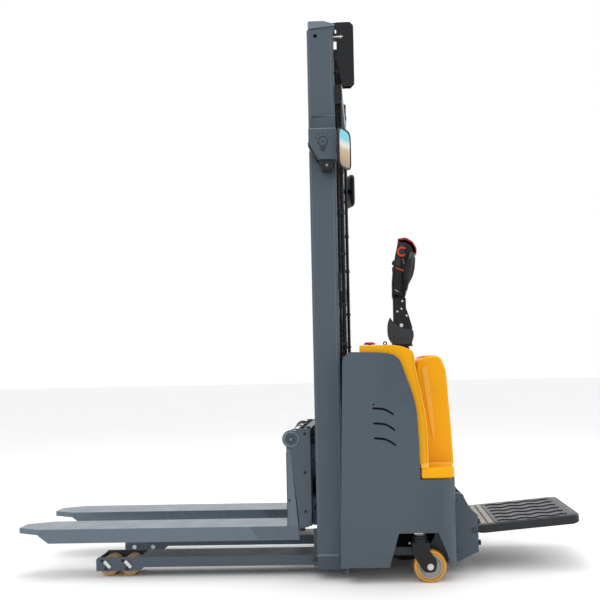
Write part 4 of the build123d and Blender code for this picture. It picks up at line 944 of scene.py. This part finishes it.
def link_outline(length, width):
    """A chain plate: two round ends joined by a narrower waist, along its own X."""
    ends = []
    for sign in (1, -1):
        for k in range(7):
            angle = sign * pi / 2 - pi * k / 6
            ends.append((sign * length / 2 + cos(angle) * width / 2, sin(angle) * width / 2))
    return ends


def add_link(mesh, centre, along, across, low, high, length, width):
    """Adds one chain plate that stands on edge, from one Y to another."""
    rings = []
    for y in (low, high):
        rings.append([mesh.verts.new(centre + along * a + across * b + Vector((0, y, 0))) for a,
                b in link_outline(length, width)])
    stitch(mesh, rings)


def make_chain_wraps():
    """The links over the top of each chain pulley, and the chain anchors on the carriage."""
    wraps = bmesh.new()
    steps = round(pi * CHAIN_R / CHAIN_PITCH)
    for side in SIDES.values():
        for i in range(steps):
            angle = pi * (i + 0.5) / steps
            centre = at(PULLEY[0] + cos(angle) * CHAIN_R, side * CHAIN_Y, PULLEY[1] + sin(angle) * CHAIN_R)
            along = Vector((-sin(angle), 0, cos(angle)))
            across = Vector((cos(angle), 0, sin(angle)))
            rows = ((-0.0076, -0.005), (-0.0013, 0.0013), (0.005, 0.0076)) if i % 2 else (
                (-0.0047, -0.0018), (0.0018, 0.0047))
            for low, high in rows:
                add_link(wraps, centre, along, across, low, high, CHAIN_PITCH, 0.0096)
            for end in (-0.5, 0.5):
                spot = centre + along * end * CHAIN_PITCH - Vector((0, 0.0079, 0))
                add_turning(wraps, ((0, 0), (0.0024, 0), (0.0024, 0.0158), (0, 0.0158)), spot, (0, 1, 0),
                        10)
    piece_from("chain_wraps", wraps, "chain_steel", body="inner_mast")
    anchors = bmesh.new()
    for side in SIDES.values():
        add_turning(anchors, ((0, 0.536), (0.0055, 0.536), (0.0055, 0.544), (0, 0.544)),
                at(0.13, side * CHAIN_Y, 0), (0, 0, 1), 16)
        add_hex_bolt(anchors, at(0.13, side * CHAIN_Y, 0.5448), (0, 0, -1), 0.0085)
        for x, y in ((0.062, 0.06), (0.062, 0.16), (0.09, 0.235), (0.062, 0.235)):
            add_hex_bolt(anchors, at(x, side * y, 0.609), (0, 0, 1), 0.009)
    piece_from("carriage_nuts", anchors, "black_paint", 0.0004, 2, "carriage")


make_chain_wraps()


# ---- carriage and forks
def make_carriage_details():
    rings, caps, screws, buffers = new_meshes(4)
    for side in SIDES.values():
        lobe = at(0.022, side * 0.293, 0.57)
        out = (0, side, 0)
        add_turning(rings, ((0.0254, 0), (0.0254, 0.003), (0.0285, 0.0036), (0.032, 0.0026), (0.033, 0)),
                lobe, out, 48)
        add_turning(rings, ((0, 0.0036), (0.005, 0.0036), (0.006, 0.0028), (0.006, 0)),
                at(0.022, side * 0.3, 0.57), out, 28)
        add_turning(caps, ((0, 0.0012), (0.012, 0.0012), (0.014, 0.0002), (0.016, 0.0012), (0.0235, 0.0012),
                (0.025, -0.001), (0.025, -0.0035)), at(0.022, side * 0.3, 0.57), out, 40)
        for x, z in ((0.079, 0.591), (0.077, 0.431), (0.076, 0.27)):
            add_cap_screw(screws, at(x, side * 0.293, z), out, 0.0052)
        add_cap_screw(screws, at(0.009, side * 0.285, 0.316), out, 0.004)
        add_block(buffers, (0.052, 0.072), span(side, 0.2668, 0.284), (0.186, 0.2075))
    # Washer rings in the lighter slate: partly a painted highlight.
    piece_from("carriage_rings", rings, "slate_light", body="carriage")
    piece_from("shaft_caps", caps, "slate_paint", body="carriage")
    piece_from("carriage_screws", screws, "black_paint", body="carriage")
    piece_from("carriage_buffers", buffers, "black_plastic", 0.002, 3, "carriage")


def make_fork_details():
    welds_and_highlight_lines, plates = new_meshes(2)
    for side in SIDES.values():
        for y in (0.1053, 0.2847):
            path = [at(0.0005, side * y, 0.2105 + 0.0085 * i) for i in range(36)]
            for i, place in enumerate(path):
                add_turning(welds_and_highlight_lines, ((0, 0.0024), (0.003, 0.0018), (0.0042, 0)),
                        place + Vector((-0.0004 * (i % 2), 0, 0)), (-1, 0, 0), 8)
        for i in range(19):
            add_turning(welds_and_highlight_lines, ((0, 0.0026), (0.003, 0.0018), (0.0045, 0)), at(-0.0015,
                    side * (0.1095 + 0.0095 * i), 0.2085), (-0.7, 0, 0.7), 8)
        for wall in ((0.2845, 0.2868), (0.1032, 0.1055)):
            add_prism(plates, [(-0.156, 0.2075), (-0.122, 0.158), (0.047, 0.158), (0.0435, 0.2075)],
                    *span(side, wall[0], wall[1]))
    piece_from("fork_welds", welds_and_highlight_lines, "weld_grey", body="carriage")
    piece_from("fork_patches", plates, "fork_paint", 0.0006, 2, "carriage")


make_carriage_details()
make_fork_details()


# ---- tiller foot
def make_yoke():
    """The blue-grey shell at the tiller's foot, open along the top for the arm."""
    horn = smooth_line([(0.448, 1.0805), (0.4405, 1.062), (0.437, 1.037), (0.4375, 1.01), (0.443, 0.986),
            (0.455, 0.967), (0.471, 0.9585)], 4)
    hollow = smooth_line([(0.545, 1.026), (0.521, 1.0265), (0.494, 1.034), (0.468, 1.052), (0.448, 1.0805)],
            4)
    back = rounded([(0.471, 0.9585), (0.541, 0.9585), (0.5515, 0.99), (0.5515, 1.012), (0.545, 1.026)],
            [0, 0.012, 0.02, 0.01, 0], 5)
    cheek = horn[:-1] + back[:-1] + hollow[:-1]
    shell = bmesh.new()
    for side in SIDES.values():
        add_prism(shell, cheek, *span(side, 0.0425, 0.049))
    add_prism(shell, rounded(rectangle(0.4555, -0.0485, 0.545, 0.0485), 0.016, 6), 0.9585, 0.984, "z")
    front = smooth_line([(0.4475, 1.072), (0.4405, 1.05), (0.4385, 1.03), (0.44, 1.005), (0.447, 0.98),
            (0.456, 0.966)], 4)
    inside = [(x + 0.0065, z) for x, z in front[::-1]]
    add_prism(shell, front + inside, -0.0465, 0.0465)
    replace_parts(piece_from("yoke_shell", shell, "grey_plastic", 0.0024, 4, "drive_unit"), "tiller_yoke")
    core = bmesh.new()
    lug = [(0.524, 0.984), (0.472, 0.984)] + [
        (TILLER_X + 0.026 * cos(a), 1.043 + 0.026 * sin(a)) for a in (pi * (1 - k / 12) for k in range(13))]
    add_prism(core, lug, -0.028, 0.028)
    add_turning(core, ((0, 0.554), (0.028, 0.554), (0.028, 0.951), (0.048, 0.951), (0.0515, 0.953),
            (0.052, 0.956), (0.05, 0.958), (0, 0.9585)), at(TILLER_X, 0, 0), (0, 0, 1), 48)
    piece_from("yoke_core", core, "black_plastic", 0.0008, 2, "drive_unit")
    dots = bmesh.new()
    for side in SIDES.values():
        for x, z in ((0.465, 0.993), (0.5, 0.982)):
            add_cap_screw(dots, at(x, side * 0.0488, z), (0, side, 0), 0.0032)
    piece_from("yoke_screws", dots, "black_plastic", body="drive_unit")


# ---- tiller arm and head
def make_arm():
    outline = rounded([(0.464, 1.03), (0.464, 1.168), (0.5135, 1.168), (0.512, 1.146), (0.534, 1.08),
            (0.5485, 1.028), (0.53, 1.0085), (0.48, 1.0085)], [0.02, 0, 0, 0.02, 0.04, 0.012, 0.012, 0.014],
            6)
    arm = bmesh.new()
    for side in SIDES.values():
        add_prism(arm, outline, *span(side, 0.0303, 0.04))
    add_prism(arm, rounded([(0.466, 1.101), (0.466, 1.168), (0.521, 1.168), (0.521, 1.101)], 0.006),
            -0.0303, 0.0303)
    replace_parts(piece_from("arm_plates", arm, "black_paint", 0.0016, 3, "tiller"), "tiller_arm")
    screws = bmesh.new()
    for side in SIDES.values():
        for x, z in ((0.504, 1.151), (0.5, 1.117), (0.481, 1.105), (0.522, 1.086)):
            add_cap_screw(screws, at(x, side * 0.04, z), (0, side, 0), 0.0042)
    piece_from("arm_screws", screws, "white_steel", body="tiller")
    spring = bmesh.new()
    add_turning(spring, ((0, 1.056), (0.011, 1.056), (0.011, 1.1005), (0, 1.1005)), at(0.4935, 0, 0),
            (0, 0, 1), 20)
    piece_from("arm_gas_spring", spring, "bright_steel", 0.001, 2, "tiller")


HEAD_OUTLINE = ((0.46, 1.168), (0.4605, 1.24), (0.4665, 1.3), (0.48, 1.37), (0.49, 1.4115), (0.524, 1.4115),
        (0.544, 1.3995), (0.5548, 1.382), (0.56, 1.354), (0.5665, 1.34), (0.5625, 1.295), (0.5535, 1.26),
        (0.5345, 1.225), (0.517, 1.168))


def make_head():
    """The tiller head: a moulded body with inlays, a waist and rounded flanks."""
    outline = rounded(HEAD_OUTLINE, [0.004, 0.05, 0.05, 0.05, 0.01, 0.008, 0.01, 0.012, 0.01, 0.01, 0.03,
            0.02, 0.02, 0.004], 4)
    body = bmesh.new()
    add_pillow(body, outline, 0.0548, 0.01)
    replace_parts(piece_from("head_shell", body, "black_plastic", body="tiller"), "tiller_head")
    inlay, slash, highlight_streak = new_meshes(3)
    for side in SIDES.values():
        flank = span(side, 0.054, 0.0556)
        add_prism(inlay, rounded([(0.4835, 1.352), (0.475, 1.312), (0.497, 1.308), (0.503, 1.33),
                (0.496, 1.345)], 0.004), *flank)
        add_prism(inlay, rounded([(0.4965, 1.402), (0.4945, 1.392), (0.508, 1.39), (0.524, 1.393),
                (0.521, 1.4015)], 0.003), *flank)
        add_prism(slash, [(0.4765, 1.301), (0.4755, 1.296), (0.512, 1.2815), (0.514, 1.287)], *flank)
        add_turning(slash, ((0, 0.0016), (0.005, 0.0012), (0.0062, 0)), at(0.542, side * 0.049, 1.3835),
                (0.3, side, 0), 20)
        # Light grey streaks on the flanks: painted highlights.
        add_prism(highlight_streak, [(0.471, 1.203), (0.471, 1.1985), (0.488, 1.1895), (0.489, 1.194)], *flank)
        add_prism(highlight_streak, [(0.508, 1.34), (0.5105, 1.34), (0.5165, 1.314), (0.514, 1.314)], *flank)
    piece_from("head_inlays", inlay, "grey_plastic", 0.0006, 2, "tiller")
    piece_from("head_slashes", slash, "orange_plastic", 0.0004, 2, "tiller")
    piece_from("head_highlight_streaks", highlight_streak, "strip_grey", 0.0004, 2, "tiller")
    for node, z in (("lift_button", 1.326), ("lower_button", 1.296)):
        centre = at(0.463, 0, z)
        knob = bmesh.new()
        add_turning(knob, ((0, 0.0012), (0.0045, 0.0008), (0.0062, 0), (0.0082, 0.0004), (0.009, 0.0018),
                (0.009, 0.019), (0, 0.019)), centre, (1, 0, 0), 32)
        cap = piece_from(f"{node}_cap", knob, "grey_plastic", body=node)
        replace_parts(cap, node)
        bezel = bmesh.new()
        face_x = 0.469 if z > 1.31 else 0.464
        add_turning(bezel, ((0.0094, 0), (0.013, 0), (0.013, 0.006), (0.0094, 0.006)), at(face_x, 0, z),
                (1, 0, 0), 32, closed=True)
        piece_from(f"{node}_bezel", bezel, "black_plastic", 0.0006, 2, "tiller")


def make_belly_button():
    outline = rounded([(0.4893, 1.4185), (0.4915, 1.4295), (0.526, 1.4335), (0.556, 1.4148),
            (0.5725, 1.386), (0.5725, 1.3603), (0.5625, 1.3603), (0.5608, 1.388), (0.548, 1.4062),
            (0.526, 1.4185)], [0.003, 0.004, 0.02, 0.02, 0.01, 0.003, 0.003, 0.01, 0.01, 0.01], 5)
    cap = bmesh.new()
    add_pillow(cap, outline, 0.0478, 0.0035, 3)
    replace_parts(piece_from("belly_cap", cap, "red_plastic", body="belly_button"), "belly_button")
    stem = bmesh.new()
    add_block(stem, (0.498, 0.536), (-0.036, 0.036), (1.4065, 1.419))
    piece_from("belly_stem", stem, "black_plastic", 0.002, 2, "belly_button")


def make_grips():
    """Two hand loops of round tube, both ends in the head, leaning back with it."""
    lean = radians(12.0)
    up = Vector((sin(lean), 0, cos(lean)))
    normal = Vector((cos(lean), 0, -sin(lean)))
    centre = at(0.53, 0, 1.275)
    grips = bmesh.new()
    for side in SIDES.values():
        route = rounded([(0.04, 0.077), (0.094, 0.077), (0.127, 0.044), (0.127, -0.044), (0.094, -0.077),
                (0.04, -0.077)], [0, 0.03, 0.034, 0.034, 0.03, 0], 7)
        path = [centre + Vector((0, side * u, 0)) + up * v for u, v in route]
        add_tube(grips, path, 0.0128, normal, 20)
    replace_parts(piece_from("grip_loops", grips, "black_plastic", body="tiller"), "hand_grips")
    sleeves = bmesh.new()
    for side in SIDES.values():
        for i in range(9):
            v = -0.034 + i * 0.0085
            middle = centre + Vector((0, side * 0.127, 0)) + up * v
            add_turning(sleeves, ((0.0126, -0.003), (0.0134, -0.0018), (0.0134, 0.0018), (0.0126, 0.003)),
                    middle, up, 20)
    piece_from("grip_ribs", sleeves, "black_paint", body="tiller")


THUMB_RING = (0.506, 1.366)


def make_throttle():
    """An orange C-shaped thumb ring on each flank of the head, with a dark hub."""
    gap = radians(38)
    rings, hubs = new_meshes(2)
    for side in SIDES.values():
        arc = [gap + (2 * pi - 2 * gap) * k / 30 for k in range(31)]
        outline = [(THUMB_RING[0] + r * cos(a), THUMB_RING[1] + r * sin(a)) for r,
                turn in ((0.022, arc), (0.0128, arc[::-1])) for a in turn]
        add_prism(rings, outline, *span(side, 0.0562, 0.078))
        add_turning(hubs, ((0, 0), (0.0118, 0), (0.0118, 0.018), (0.0095, 0.0205), (0, 0.0212)),
                at(THUMB_RING[0], side * 0.0562, THUMB_RING[1]), (0, side, 0), 32)
    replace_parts(piece_from("throttle_rings", rings, "orange_plastic", 0.002, 3, "throttle"), "thumb_throttle")
    piece_from("throttle_hubs", hubs, "teal_plastic", 0.0005, 2, "throttle")


make_yoke()
make_arm()
make_head()
make_belly_button()
make_grips()
make_throttle()


# ---- ride platform
DECK_PIVOT = (0.774, 0.176)
DECK_RISE = radians(5.0)
DECK_TOP = 0.012


def on_deck(u, y, lift):
    """A point on the platform: u along it from the hinge, and a lift above the hinge axis."""
    return at(DECK_PIVOT[0] + u * cos(DECK_RISE) - lift * sin(DECK_RISE), y,
            DECK_PIVOT[1] + u * sin(DECK_RISE) + lift * cos(DECK_RISE))


def add_deck_plate(mesh, outline, low, high):
    """Adds a flat shape that lies on the platform, from (u, y) corners."""
    stitch(mesh, [[mesh.verts.new(on_deck(u, y, lift)) for u, y in outline] for lift in (low, high)])


def make_deck_mat():
    mat = bmesh.new()
    base = rounded(rectangle(0.094, -0.222, 0.434, 0.222), 0.02, 7)
    add_deck_plate(mat, base, DECK_TOP, DECK_TOP + 0.002)
    for k in range(6):
        y = -0.18 + k * 0.072
        line = []
        for i in range(49):
            u = 0.108 + i * 0.292 / 48
            line.append((u, y + 0.0095 * sin(2 * pi * (i / 48) * 3.5)))
        for half, low, high in ((0.019, 0.0015, 0.0036), (0.012, 0.003, 0.0058)):
            outline = [(u, v - half) for u, v in line] + [(u, v + half) for u, v in line[::-1]]
            add_deck_plate(mat, outline, DECK_TOP + low, DECK_TOP + high)
    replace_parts(piece_from("platform_mat", mat, "mat_rubber", 0.0012, 2, "deck"), "deck_mat")
    border = bmesh.new()
    for u0, u1 in ((0.408, 0.4105), (0.4165, 0.419), (0.425, 0.4275)):
        add_deck_plate(border, rectangle(u0, -0.198, u1, 0.198), DECK_TOP + 0.0016, DECK_TOP + 0.004)
    piece_from("mat_border", border, "rib_grey", 0.0006, 2, "deck")
    strips = bmesh.new()
    for u0 in (0.008, 0.037, 0.066):
        add_deck_plate(strips, rectangle(u0, -0.214, u0 + 0.02, 0.214), DECK_TOP - 0.0003,
                DECK_TOP + 0.0024)
    piece_from("grip_strips", strips, "strip_grey", 0.0005, 2, "deck")


def make_step_details():
    caps, buffers = new_meshes(2)
    for side in SIDES.values():
        add_turning(caps, ((0, 0.003), (0.01, 0.0026), (0.0125, 0)),
                at(DECK_PIVOT[0], side * 0.262, DECK_PIVOT[1]), (0, side, 0), 28)
        for x, z in ((0.7, 0.3), (0.7, 0.09)):
            add_turning(caps, ((0, 0.0022), (0.005, 0.0018), (0.0062, 0)), at(x, side * 0.262, z),
                    (0, side, 0), 20)
        add_block(buffers, (0.7885, 0.8), span(side, 0.2405, 0.26), (0.113, 0.133))
        add_block(buffers, (0.7885, 0.796), span(side, 0.2405, 0.26), (0.2, 0.222))
    piece_from("step_rivets", caps, "weld_grey")
    piece_from("step_buffers", buffers, "black_plastic", 0.003, 3)


make_deck_mat()
make_step_details()
